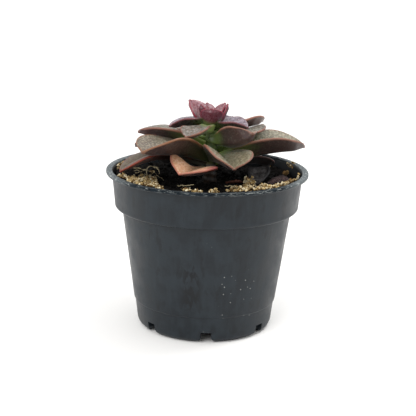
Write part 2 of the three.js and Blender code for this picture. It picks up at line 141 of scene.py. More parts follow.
def outward(points: Array, quads: Array, triangles: Array) -> tuple[Array, Array]:
    """The faces of a closed mesh, turned so that its volume is positive.

    Formula: each triangle a, b, c of a face adds a . (b x c) / 6 to the volume, and all faces
    are reversed if the sum is negative.

    Args:
        points: vertices, n by 3.
        quads: vertex indices, m by 4.
        triangles: vertex indices, k by 3.

    Returns:
        The quads and the triangles, reversed or not.
    """
    corners = points[np.concatenate([quads[:, [0, 1, 2]], quads[:, [0, 2, 3]], triangles])]
    volume = np.einsum("ij,ij->", corners[:, 0], np.cross(corners[:, 1], corners[:, 2]))
    return (quads, triangles) if volume > 0 else (quads[:, ::-1], triangles[:, ::-1])


@dataclass
class Shell:
    """A mesh in the making: vertices in mm, faces of four and of three, and vertex values."""

    points: Array
    quads: Array
    triangles: Array = field(default_factory=lambda: np.zeros((0, 3), int))
    values: dict[str, Array] = field(default_factory=dict)

    @staticmethod
    def joined(shells: Sequence["Shell"]) -> "Shell":
        """One shell of several.

        Args:
            shells: the shells, which share the names of their values.

        Returns:
            All their vertices and faces.
        """
        starts = np.cumsum([0] + [len(shell.points) for shell in shells[:-1]])
        return Shell(
            np.concatenate([shell.points for shell in shells]),
            np.concatenate([shell.quads + start for shell, start in zip(shells, starts)]),
            np.concatenate([shell.triangles + start for shell, start in zip(shells, starts)]),
            {name: np.concatenate([shell.values[name] for shell in shells])
             for name in shells[0].values},
        )

    def make(self, name: str, slot: str, replaced: Sequence[str] = (), smooth_to: float = 180,
             materials: Sequence[bpy.types.Material] = ()) -> bpy.types.Object:
        """Puts the shell into the scene as a piece of the object.

        Args:
            name: the piece's name.
            slot: the record's material slot that it belongs to; it is not used.
            replaced: the CAD nodes that it stands for.
            smooth_to: edges sharper than this many degrees stay hard.
            materials: the materials of its slots.

        Returns:
            The new object, which rides on the part's body.
        """
        mesh = bpy.data.meshes.new(name)
        corners = np.concatenate([self.quads.ravel(), self.triangles.ravel()]).astype(np.int32)
        sizes = np.repeat([4, 3], [len(self.quads), len(self.triangles)])
        mesh.vertices.add(len(self.points))
        mesh.vertices.foreach_set("co", (self.points * MM).astype(np.float32).ravel())
        mesh.loops.add(len(corners))
        mesh.loops.foreach_set("vertex_index", corners)
        mesh.polygons.add(len(sizes))
        starts = np.concatenate([[0], np.cumsum(sizes)[:-1]]).astype(np.int32)
        mesh.polygons.foreach_set("loop_start", starts)
        mesh.polygons.foreach_set("use_smooth", np.ones(len(sizes), bool))
        mesh.update(calc_edges=True)
        mesh.validate()
        for label, value in self.values.items():
            layer = mesh.attributes.new(label, "FLOAT", "POINT")
            layer.data.foreach_set("value", value.astype(np.float32))
        if smooth_to < 180:
            mesh.set_sharp_from_angle(angle=math.radians(smooth_to))
        for material in materials:
            mesh.materials.append(material)
        piece = bpy.data.objects.new(name, mesh)
        bpy.context.scene.collection.objects.link(piece)
        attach(piece, BODY)
        if replaced:
            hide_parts(*replaced)
        LOG.info("%s: %d vertices, %d faces", name, len(self.points), len(sizes))
        return piece


def loft(rings: Array, start: Optional[Array] = None, end: Optional[Array] = None,
         values: Optional[dict[str, Array]] = None) -> Shell:
    """A closed shell through a row of closed rings.

    Formula: vertex (i, j) is point j of ring i, each ring is joined to the next by quads that
    wrap round, and the first and last rings close on a pole by a fan of triangles.

    Args:
        rings: points, rows by columns by 3.
        start: the first pole, or None for the first ring's middle.
        end: the last pole, or None for the last ring's middle.
        values: vertex values, rows by columns each.

    Returns:
        The shell, with its faces outward.
    """
    rows, columns = rings.shape[:2]
    start = rings[0].mean(axis=0) if start is None else np.asarray(start)
    end = rings[-1].mean(axis=0) if end is None else np.asarray(end)
    points = np.concatenate([rings.reshape(-1, 3), [start, end]])
    index = np.arange(rows * columns).reshape(rows, columns)
    after = np.roll(index, -1, axis=1)
    quads = np.stack([index[:-1], after[:-1], after[1:], index[1:]], axis=-1).reshape(-1, 4)
    first = np.stack([after[0], index[0], np.full(columns, rows * columns)], axis=-1)
    last = np.stack([index[-1], after[-1], np.full(columns, rows * columns + 1)], axis=-1)
    quads, triangles = outward(points, quads, np.concatenate([first, last]))
    layers = {
        name: np.concatenate([value.ravel(), [value[0].mean(), value[-1].mean()]])
        for name, value in (values or {}).items()
    }
    return Shell(points, quads, triangles, layers)


def slab(top: Array, bottom: Array) -> Shell:
    """A closed shell between two grids of the same size.

    Formula: both grids are quads, and a wall of quads joins their borders.

    Args:
        top: points, rows by columns by 3.
        bottom: the points below them.

    Returns:
        The shell, with its faces outward.
    """
    rows, columns = top.shape[:2]
    index = np.arange(rows * columns).reshape(rows, columns)
    below = index + rows * columns
    lid = np.stack([index[:-1, :-1], index[1:, :-1], index[1:, 1:], index[:-1, 1:]], axis=-1)
    rim = np.concatenate([index[:-1, 0], index[-1, :-1], index[:0:-1, -1], index[0, :0:-1]])
    after = np.roll(rim, -1)
    wall = np.stack([rim, rim + rows * columns, after + rows * columns, after], axis=-1)
    floor = np.stack([below[:-1, :-1], below[:-1, 1:], below[1:, 1:], below[1:, :-1]], axis=-1)
    quads = np.concatenate([lid.reshape(-1, 4), floor.reshape(-1, 4), wall])
    points = np.concatenate([top.reshape(-1, 3), bottom.reshape(-1, 3)])
    return Shell(points, *outward(points, quads, np.zeros((0, 3), int)))


def round_grain() -> tuple[Array, Array]:
    """A grain of radius 1: an octahedron split once onto the sphere.

    Returns:
        Its 18 points, and its 32 faces with their corners anticlockwise from outside.
    """
    poles = np.concatenate([[way, -way] for way in np.eye(3)])
    corners = [(a, b, c) for a in (0, 1) for b in (2, 3) for c in (4, 5)]
    pairs = sorted({pair for a, b, c in corners for pair in ((a, b), (b, c), (a, c))})
    middle = {pair: len(poles) + i for i, pair in enumerate(pairs)}
    ball = np.concatenate([poles, [(poles[a] + poles[b]) / math.sqrt(2) for a, b in pairs]])
    faces = np.array([
        face for a, b, c in corners
        for face in ((a, middle[a, b], middle[a, c]), (b, middle[b, c], middle[a, b]),
                     (c, middle[a, c], middle[b, c]), (middle[a, b], middle[b, c], middle[a, c]))
    ])
    first, second, third = (ball[faces[:, i]] for i in range(3))
    facing = np.einsum("ij,ij->i", first + second + third, np.cross(second - first, third - first))
    return ball, np.where(facing[:, None] > 0, faces, faces[:, ::-1])


def lumps(centres: Array, sizes: Array, flatness: float, roughness: float, seed: int) -> Shell:
    """Many small irregular grains in one shell.

    Formula: each point of a round grain has its distance varied at random by the roughness, the
    grain is flattened along its own axis, turned by a random quaternion and moved to its centre.

    Args:
        centres: where the grains lie, n by 3.
        sizes: their mean radii, n.
        flatness: the short axis as a share of the others.
        roughness: how far a point's distance varies, as a share.
        seed: of the random draws.

    Returns:
        The grains, with a value 'tone' from 0 to 1 that is the same all over a grain.
    """
    draw = np.random.default_rng(seed)
    ball, faces = round_grain()
    count = len(centres)
    reach = 1 + roughness * draw.uniform(-1, 1, (count, len(ball), 1))
    shapes = ball * reach * np.array([1, draw.uniform(0.75, 1), flatness])
    spin = draw.normal(size=(count, 4))
    spin /= np.linalg.norm(spin, axis=1, keepdims=True)
    w, x, y, z = spin.T
    turns = np.stack([
        1 - 2 * (y * y + z * z), 2 * (x * y - w * z), 2 * (x * z + w * y),
        2 * (x * y + w * z), 1 - 2 * (x * x + z * z), 2 * (y * z - w * x),
        2 * (x * z - w * y), 2 * (y * z + w * x), 1 - 2 * (x * x + y * y),
    ], axis=-1).reshape(count, 3, 3)
    points = np.einsum("nij,nkj->nki", turns, shapes) * sizes[:, None, None] + centres[:, None]
    triangles = faces[None] + (np.arange(count) * len(ball))[:, None, None]
    tone = np.repeat(draw.uniform(0, 1, count), len(ball))
    return Shell(points.reshape(-1, 3), np.zeros((0, 4), int), triangles.reshape(-1, 3),
                 {"tone": tone})


def strand(path: Array, radius: float, sides: int = 6) -> Shell:
    """A thin round thread along a path.

    Formula: at each point of the path a ring of the given radius stands square to the path, and
    it shrinks to about a third at both ends, by the sine of the way along.

    Args:
        path: points, n by 3.
        radius: the thread's radius.
        sides: points round a ring.

    Returns:
        The thread, closed at both ends.
    """
    along = np.gradient(path, axis=0)
    along /= np.linalg.norm(along, axis=1, keepdims=True)
    level = np.cross(along, [0.03, 0.05, 1.0])
    level /= np.linalg.norm(level, axis=1, keepdims=True)
    upright = np.cross(level, along)
    turn = np.linspace(0, FULL_TURN, sides, endpoint=False)[:, None]
    ends = np.sin(np.linspace(0.08, math.pi - 0.08, len(path))) ** 0.4
    ring = np.cos(turn) * level[:, None] + np.sin(turn) * upright[:, None]
    return loft(path[:, None] + radius * ends[:, None, None] * ring)


# Finishes.

class Shader:
    """A material's node tree, with short calls for the nodes that the finishes use."""

    SOCKETS = {
        "colour": "Base Color", "roughness": "Roughness", "normal": "Normal",
        "specular": "Specular IOR Level", "subsurface": "Subsurface Weight",
        "subsurface_scale": "Subsurface Scale", "sheen": "Sheen Weight",
        "sheen_roughness": "Sheen Roughness",
    }

    def __init__(self, name: str) -> None:
        """Starts a material with one principled shader.

        Args:
            name: the material's name.
        """
        self.material = bpy.data.materials.new(name)
        self.material.use_nodes = True
        self.tree = self.material.node_tree
        self.tree.nodes.clear()
        self.surface = self.tree.nodes.new("ShaderNodeBsdfPrincipled")
        output = self.tree.nodes.new("ShaderNodeOutputMaterial")
        self.tree.links.new(self.surface.outputs["BSDF"], output.inputs["Surface"])
        self.place = self.tree.nodes.new("ShaderNodeTexCoord").outputs["Object"]

    def feed(self, socket: Socket, value: object) -> None:
        """Gives a socket its value.

        Args:
            socket: an input.
            value: a socket to link it to, a plain value, or None to leave it as it is.
        """
        if isinstance(value, Socket):
            self.tree.links.new(value, socket)
        elif value is not None:
            socket.default_value = value

    def node(self, kind: str, output: str | int, inputs: dict[str | int, object],
             **settings: str) -> Socket:
        """Adds a node.

        Args:
            kind: its type, without the words ShaderNode.
            output: which of its outputs to hand back.
            inputs: what to feed to its inputs.
            **settings: its properties.

        Returns:
            The output.
        """
        node = self.tree.nodes.new(f"ShaderNode{kind}")
        for name, setting in settings.items():
            setattr(node, name, setting)
        for name, value in inputs.items():
            self.feed(node.inputs[name], value)
        return node.outputs[output]

    def value(self, name: str) -> Socket:
        """The mesh's vertex value of that name."""
        return self.node("Attribute", "Fac", {}, attribute_name=name)

    def axis(self, name: str) -> Socket:
        """The place along one axis of the part's frame, in metres."""
        return self.node("SeparateXYZ", name, {0: self.place})

    def stretched(self, along_z: float) -> Socket:
        """Object coordinates multiplied by a factor along Z."""
        return self.node("Mapping", "Vector", {"Vector": self.place, "Scale": (1, 1, along_z)})

    def ringwise(self, radius: float, along: float, across: float) -> Socket:
        """Coordinates that run round the part's axis.

        Args:
            radius: of the ring on which lengths are true, in metres.
            along: the stretch round the ring, as a factor on the coordinates.
            across: the same for radius plus height.

        Returns:
            The coordinates: the ring's own place, and radius plus height as the third.
        """
        x, y, z = map(self.axis, "XYZ")
        reach = self.reckon("SQRT", self.reckon("ADD", self.times(x, x), self.times(y, y)))
        share = self.reckon("DIVIDE", radius * along, reach)
        third = self.times(self.reckon("ADD", reach, z), across)
        return self.node("CombineXYZ", 0, {0: self.times(x, share), 1: self.times(y, share),
                                           2: third})

    def noise(self, size: float, detail: float = 2, roughness: float = 0.5,
              place: Optional[Socket] = None) -> Socket:
        """Cloudy noise from 0 to 1.

        Args:
            size: the size of its clouds, in mm.
            detail: how many finer octaves it has.
            roughness: how strong those are.
            place: coordinates, or None for the object's own.

        Returns:
            The noise's value.
        """
        return self.node("TexNoise", "Fac", {
            "Scale": 1 / (size * MM), "Detail": detail, "Roughness": roughness,
            "Vector": place or self.place})

    def dots(self, size: float, reach: float, cover: float) -> Socket:
        """Scattered soft dots.

        Args:
            size: of the cells that hold a dot each, in mm.
            reach: how far a dot reaches, as a share of its cell.
            cover: the strength of its middle.

        Returns:
            The cover in the middle of a dot, falling to 0.
        """
        distance = self.node("TexVoronoi", "Distance",
                             {"Scale": 1 / (size * MM), "Vector": self.place})
        return self.band(distance, 0.06, reach, cover, 0)

    def band(self, value: Socket, low: float, high: float, start: float = 0,
             end: float = 1) -> Socket:
        """Takes a value smoothly from one number to another.

        Args:
            value: what to take.
            low: the value where the change begins.
            high: the value where it ends.
            start: the number below low.
            end: the number above high.

        Returns:
            The number.
        """
        limits = {"From Min": low, "From Max": high, "To Min": start, "To Max": end}
        return self.node("MapRange", "Result", {"Value": value, **limits},
                         interpolation_type="SMOOTHSTEP")

    def reckon(self, operation: str, first: object, second: object = None) -> Socket:
        """One step of arithmetic on two values."""
        return self.node("Math", "Value", {0: first, 1: second}, operation=operation)

    def times(self, *values: object) -> Socket:
        """The product of values."""
        return reduce(lambda first, second: self.reckon("MULTIPLY", first, second), values)

    def blend(self, cover: Socket, under: object, over: object) -> Socket:
        """Two colours mixed: under where the cover is 0 and over where it is 1."""
        return self.node("Mix", 2, {0: cover, 6: under, 7: over}, data_type="RGBA")

    def paint(self, under: str | Socket, *coats: tuple[Socket, str]) -> Socket:
        """Lays coats of colour over a colour.

        Args:
            under: the colour below, as its code or a socket.
            *coats: from the lowest, each its cover from 0 to 1 and its colour's code.

        Returns:
            The colour that shows.
        """
        under = ink(under) if isinstance(under, str) else under
        for cover, code in coats:
            under = self.blend(cover, under, ink(code))
        return under

    def relief(self, *layers: tuple[Socket, float, float]) -> Socket:
        """A normal bumped by layers.

        Args:
            *layers: from the lowest, each its height from 0 to 1, how far 1 stands out in mm,
                and how much of it shows.

        Returns:
            The normal.
        """
        normal = None
        for height, depth, strength in layers:
            normal = self.node("Bump", "Normal", {
                "Height": height, "Distance": depth * MM, "Strength": strength,
                "Normal": normal})
        return normal

    def done(self, **sockets: object) -> bpy.types.Material:
        """Ends the work.

        Args:
            **sockets: what the shader's sockets take, by their short names.

        Returns:
            The material.
        """
        for name, value in sockets.items():
            self.feed(self.surface.inputs[self.SOCKETS[name]], value)
        return self.material


@dataclass(frozen=True)
class LeafFinish:
    """The colours and gloss of a living leaf.

    The blade runs from a green root through its body colour to its tip, on each face, and its
    margin carries a warm line. A pale bloom of fine grains lies on the upper face. The lower
    face's colours, and in most looks its root colour most of all, are the leaf's own darker
    colours with painted shade laid in: the shade under the leaves above. Sizes are in mm, and
    reaches and widths are shares of the blade's length and half width.
    """

    name: str
    upper: str
    upper_tip: str
    lower: str
    lower_tip: str
    margin: str
    root: str
    # The lower face's root colour; in most looks it is darkened with painted shade.
    root_under_and_shade: str
    bloom: str
    bloom_share: float = 0.5
    root_reach: float = 0.35
    root_under_and_shade_reach: float = 0.45
    margin_width: float = 0.05
    margin_under: float = 0.35
    corner: Optional[str] = None
    gloss: float = 0.42
    cloud_size: float = 3.5
    fleck_size: float = 0.6
    grain_size: float = 0.95
    wandering: float = 0.22

    def material(self) -> bpy.types.Material:
        """Builds the material from the blade's vertex values along, across and face.

        Returns:
            The material.
        """
        shader = Shader(f"leaf_{self.name}")
        along, across, face = map(shader.value, ("along", "across", "face"))
        cloud = shader.noise(self.cloud_size, 3)
        fleck = shader.noise(self.fleck_size, 1.5, 0.6)
        grain = shader.noise(self.grain_size, 2.5, 0.75)
        wander = shader.times(shader.reckon("SUBTRACT", cloud, 0.5), self.wandering)
        travel = shader.reckon("ADD", along, wander)

        # Each face runs to its tip's colour, under bloom, pits and a green root.
        toward_tip = shader.band(travel, 0.35, 0.95)
        dusting = shader.times(shader.band(grain, 0.44, 0.62, 0, self.bloom_share),
                               shader.band(cloud, 0.25, 0.65, 0.65, 1))
        above = shader.paint(
            self.upper, (toward_tip, self.upper_tip), (dusting, self.bloom),
            (shader.band(grain, 0.3, 0.45, 0.5, 0), self.lower_tip),
            (shader.band(travel, 0.06, self.root_reach, 1, 0), self.root))
        # The lower face: its colours and its root colour carry painted shade, darker than the
        # leaf's own, for the shade under the leaves above.
        below = shader.paint(
            self.lower, (toward_tip, self.lower_tip),
            (shader.band(grain, 0.5, 0.7, 0, 0.12), self.bloom),
            (shader.band(travel, 0.1, self.root_under_and_shade_reach, 1, 0), self.root_under_and_shade))
        body = shader.blend(shader.band(face, 0.45, 0.8), below, above)

        # The warm line along the margin and round the tip, and a blemish in one corner.
        edge = shader.reckon("ADD", shader.reckon("ABSOLUTE", across), shader.times(wander, 0.3))
        line = shader.times(shader.band(edge, 1 - self.margin_width, 1),
                            shader.band(along, 0.1, 0.4, 0.1, 1),
                            shader.band(face, 0, 0.5, self.margin_under, 0.9))
        tip = shader.band(along, 0.965, 1, 0, 0.55)
        body = shader.paint(body, (shader.reckon("MAXIMUM", line, tip), self.margin))
        if self.corner:
            blemish = shader.times(shader.band(across, 0.68, 0.98), shader.band(along, 0.3, 0.5),
                                   shader.band(along, 0.72, 0.84, 0.85, 0))
            body = shader.paint(body, (blemish, self.corner))
        return shader.done(
            colour=body, normal=shader.relief((cloud, 0.25, 0.5), (fleck, 0.06, 0.8)),
            roughness=shader.band(fleck, 0.3, 0.75, self.gloss - 0.06, self.gloss + 0.14),
            subsurface=0.12, subsurface_scale=0.0012, sheen=0.08, sheen_roughness=0.35,
            specular=0.45)


class LeafLook(Enum):
    """The finishes that the leaves have, from the heart to the oldest."""

    HEART = LeafFinish(
        "heart", upper="7c5d5f", upper_tip="7e4850", lower="5a2c36", lower_tip="53202c",
        margin="7a2334", root="8a9660", root_under_and_shade="4b5a2a", bloom="c8acb4", bloom_share=0.4,
        root_reach=0.16, margin_width=0.08, margin_under=0.7, gloss=0.3)
    MAUVE = LeafFinish(
        "mauve", upper="6b6068", upper_tip="6f5d66", lower="25241a", lower_tip="3a2428",
        margin="6d3b40", root="7f924f", root_under_and_shade="2f3a1a", bloom="b9b0b8", root_reach=0.22,
        gloss=0.3)
    SILVER = LeafFinish(
        "silver", upper="605b4f", upper_tip="554c43", lower="2a211c", lower_tip="4a3436",
        margin="7c5041", root="9cb06b", root_under_and_shade="71873f", bloom="b5afa2", root_reach=0.3,
        root_under_and_shade_reach=0.62, margin_width=0.06)
    JADE = LeafFinish(
        "jade", upper="625d51", upper_tip="574d44", lower="5e6e38", lower_tip="4a3a2c",
        margin="7c5041", root="a3b47c", root_under_and_shade="8fa35c", bloom="beb4ae", root_reach=0.38,
        root_under_and_shade_reach=0.6, margin_width=0.06)
    UMBER = LeafFinish(
        "umber", upper="5f5848", upper_tip="54493d", lower="211813", lower_tip="3b2a29",
        margin="7c5032", root="8ea05f", root_under_and_shade="262f14", bloom="b7ad98", root_reach=0.28,
        root_under_and_shade_reach=0.6, margin_width=0.07)
    OLIVE = LeafFinish(
        "olive", upper="6b6853", upper_tip="635a43", lower="2a1f1b", lower_tip="3a2724",
        margin="7f5442", root="8aa45a", root_under_and_shade="5a7030", bloom="b3ad98", root_reach=0.32,
        root_under_and_shade_reach=0.5)
    BLUSH = replace(OLIVE, name="blush", lower="4c3b33", lower_tip="5c3d36", margin="8a5a49",
                    root_under_and_shade_reach=0.4)
    MOSS = replace(OLIVE, name="moss", lower="291c19", lower_tip="45302c", root="8fa566",
                   root_under_and_shade="232c14", root_reach=0.36, root_under_and_shade_reach=0.6)
    SALMON = LeafFinish(
        "salmon", upper="b58a66", upper_tip="b0815f", lower="5a3328", lower_tip="7c4231",
        margin="a86a58", root="8d8457", root_under_and_shade="3a3420", bloom="e3cdb8", bloom_share=0.35,
        root_reach=0.25, margin_width=0.07, corner="6e2524", gloss=0.5)
    AGEING = LeafFinish(
        "ageing", upper="4a4533", upper_tip="4d3c2e", lower="1c1410", lower_tip="54201a",
        margin="7a2f1c", root="5d6a44", root_under_and_shade="1a1c10", bloom="857b62", bloom_share=0.32,
        root_reach=0.25, margin_width=0.12, margin_under=0.8, gloss=0.5)
    SHADED = LeafFinish(
        "shaded", upper="2c2420", upper_tip="35231f", lower="0c0908", lower_tip="1a0c0b",
        margin="45231c", root="343d28", root_under_and_shade="0e110a", bloom="544b43", bloom_share=0.2,
        root_reach=0.25, gloss=0.55)


@dataclass(frozen=True)
class DryFinish:
    """The colours of a withered leaf: papery and mottled, with borders darkened as painted shade.
    """

    name: str
    light: str
    dark: str
    fibre: str = "a89c90"

    def material(self) -> bpy.types.Material:
        """Builds the material from clouds of two sizes and the vertex value across.

        Returns:
            The material.
        """
        shader = Shader(f"withered_{self.name}")
        cloud, grain = shader.noise(2.2, 4, 0.65), shader.noise(0.35)
        # Painted shade: the borders darken towards the dark colour, dimming their lit edges.
        border_shade = shader.band(shader.reckon("ABSOLUTE", shader.value("across")), 0.55, 0.95, 0, 0.9)
        colour = shader.paint(self.dark, (shader.band(cloud, 0.35, 0.65), self.light),
                              (shader.band(grain, 0.5, 0.75, 0, 0.3), self.fibre),
                              (border_shade, self.dark))
        return shader.done(colour=colour, roughness=0.85, specular=0.2,
                           normal=shader.relief((cloud, 0.5, 0.7), (grain, 0.1, 0.8)))


@dataclass(frozen=True)
class PotPlastic:
    """Dusty, thin charcoal plastic: mottled, scuffed on the lip, and soiled inside, where it is
    also darkened with painted shade.

    A window is a place on the front by its left and right along X and its foot and top along Z,
    in mm: one holds dark marks, and the other specks of dust.
    """

    body: str = "10171d"
    pale: str = "1f272d"
    scuff: str = "7d8385"
    worn: str = "9a9f9d"
    dust: str = "aaaba6"
    stain: str = "070b10"
    # Near black for the inside: soil with painted shade.
    soiled_and_shaded: str = "060605"
    rim_height: float = 71
    rim_radius: float = 45
    roughness: float = 0.42
    dull_roughness: float = 0.75
    marked: tuple[float, float, float, float] = (-7.5, -4, 18, 36)
    dusty: tuple[float, float, float, float] = (9, 20, 12, 31)
    window_edge: float = 4

    def window(self, shader: Shader, sides: tuple[float, float, float, float]) -> Socket:
        """A soft-edged window on the pot's front.

        Args:
            shader: the material's shader.
            sides: its left, right, foot and top, in mm.

        Returns:
            1 inside the window, falling to 0 beyond its edge.
        """
        mask = shader.band(shader.axis("Y"), -10 * MM, 0, 1, 0)
        for name, start, stop in (("X", *sides[:2]), ("Z", *sides[2:])):
            place, edge = shader.axis(name), self.window_edge
            mask = shader.times(mask, shader.band(place, (start - edge) * MM, start * MM),
                                shader.band(place, stop * MM, (stop + edge) * MM, 1, 0))
        return mask

    def material(self) -> bpy.types.Material:
        """Builds the material from clouds, streaks, dots and the vertex value inside.

        Returns:
            The material.
        """
        shader = Shader("pot_plastic")
        cloud, grain = shader.noise(9, 4, 0.6), shader.noise(0.5)
        streak = shader.noise(3.2, 3, place=shader.stretched(0.14))
        stain = shader.noise(4.5, 3, 0.55, shader.stretched(0.4))
        mark = shader.noise(2.6, place=shader.stretched(0.5))
        worn = shader.noise(0.8, 4, 0.75, shader.ringwise(self.rim_radius * MM, 0.3, 1.7))
        lip = shader.band(shader.axis("Z"), (self.rim_height - 1.6) * MM,
                          (self.rim_height - 0.3) * MM)
        aside = shader.band(shader.reckon("ABSOLUTE", shader.axis("X")), 28 * MM, 43 * MM, 0.6, 1)
        dusty = shader.reckon("ADD", shader.band(cloud, 0.62, 0.72, 0, 0.5),
                              self.window(shader, self.dusty))
        inside = shader.value("inside")

        # Mottling, streaks and stains; the scuffed and worn lip; marks and dust; the inside, soiled
        # and darkened with painted shade.
        colour = shader.paint(
            self.body, (shader.band(cloud, 0.38, 0.62, 0, 0.6), self.pale),
            (shader.band(streak, 0.45, 0.65, 0, 0.4), self.pale),
            (shader.band(stain, 0.56, 0.7, 0, 0.6), self.stain),
            (shader.times(lip, shader.band(aside, 0.6, 1, 0, 0.55)), self.scuff),
            (shader.times(lip, shader.band(worn, 0.5, 0.66), aside), self.worn),
            (shader.times(shader.band(mark, 0.44, 0.55, 0, 0.95),
                          self.window(shader, self.marked)), self.stain),
            (shader.times(shader.dots(2.3, 0.13, 0.75), dusty), self.dust),
            # Near black inside: soil, and painted shade of the pot's deep inside.
            (shader.times(inside, shader.band(streak, 0.3, 0.6, 1, 0.93)), self.soiled_and_shaded))
        dull = shader.reckon("MAXIMUM", lip, inside)
        rough = shader.band(cloud, 0.3, 0.7, self.roughness - 0.06, self.roughness + 0.1)
        rough = shader.reckon("MAXIMUM", rough, shader.times(dull, self.dull_roughness))
        return shader.done(colour=colour, roughness=rough,
                           normal=shader.relief((cloud, 0.3, 0.35), (grain, 0.03, 0.6)),
                           specular=shader.band(dull, 0, 1, 0.3, 0.06))


@dataclass(frozen=True)
class Peat:
    """Crumbly damp peat, nearly black, with brown crumbs and pale flecks."""

    dark: str = "080706"
    brown: str = "1a1410"
    fleck: str = "4a3c2d"

    def material(self) -> bpy.types.Material:
        """Builds the material from clouds of two sizes.

        Returns:
            The material.
        """
        shader = Shader("peat")
        crumb, grain = shader.noise(1.4, 4, 0.7), shader.noise(0.3)
        colour = shader.paint(self.dark, (shader.band(crumb, 0.45, 0.8), self.brown),
                              (shader.band(grain, 0.7, 0.82, 0, 0.35), self.fleck))
        return shader.done(colour=colour, roughness=0.95, specular=0.12,
                           normal=shader.relief((crumb, 0.6, 1), (grain, 0.15, 1)))


@dataclass(frozen=True)
class GritStone:
    """Tan and golden grit, each grain of its own shade, on peat."""

    pale: str = "ece2c2"
    tan: str = "b89f6e"
    dark: str = "664f30"
    peat: str = "0d0a08"

    def material(self) -> bpy.types.Material:
        """Builds the material from a mottling and the vertex value tone, which is low in peat.

        Returns:
            The material.
        """
        shader = Shader("grit")
        tone, mottle = shader.value("tone"), shader.noise(0.6, 3, 0.6)
        stone = shader.paint(self.dark, (shader.band(tone, 0.1, 0.6), self.tan),
                             (shader.band(tone, 0.55, 1), self.pale),
                             # Dark mottling on the grains: partly their own colour, partly painted
                             # shade of the gaps between grains.
                             (shader.band(mottle, 0.45, 0.65, 0, 0.6), self.dark))
        colour = shader.blend(shader.band(tone, -0.15, 0.03), ink(self.peat), stone)
        return shader.done(colour=colour, roughness=0.95, specular=0.1,
                           normal=shader.relief((mottle, 0.2, 0.9)))


@dataclass(frozen=True)
class DryRoot:
    """Pale dry root fibre."""

    dark: str = "7c6d50"
    light: str = "c9bc96"

    def material(self) -> bpy.types.Material:
        """Builds the material from clouds."""
        shader = Shader("fibre")
        return shader.done(colour=shader.paint(self.dark, (shader.noise(1.5), self.light)),
                           roughness=0.8)


@dataclass(frozen=True)
class StemFlesh:
    """A stem that is green at its top and corky at its foot, with the change at a height in mm."""

    green: tuple[str, str] = ("4a5f2c", "6f8245")
    cork: tuple[str, str] = ("17100c", "35261b")
    change: Span = (72, 80)

    def material(self) -> bpy.types.Material:
        """Builds the material from clouds and the height.

        Returns:
            The material.
        """
        shader = Shader("stem_green")
        cloud = shader.noise(2, 3)
        green = shader.paint(self.green[0], (shader.band(cloud, 0.35, 0.7), self.green[1]))
        cork = shader.paint(self.cork[0], (shader.band(cloud, 0.4, 0.7), self.cork[1]))
        grown = shader.band(shader.axis("Z"), self.change[0] * MM, self.change[1] * MM)
        return shader.done(colour=shader.blend(grown, cork, green), roughness=0.5,
                           normal=shader.relief((cloud, 0.3, 0.5)))


# The pot.

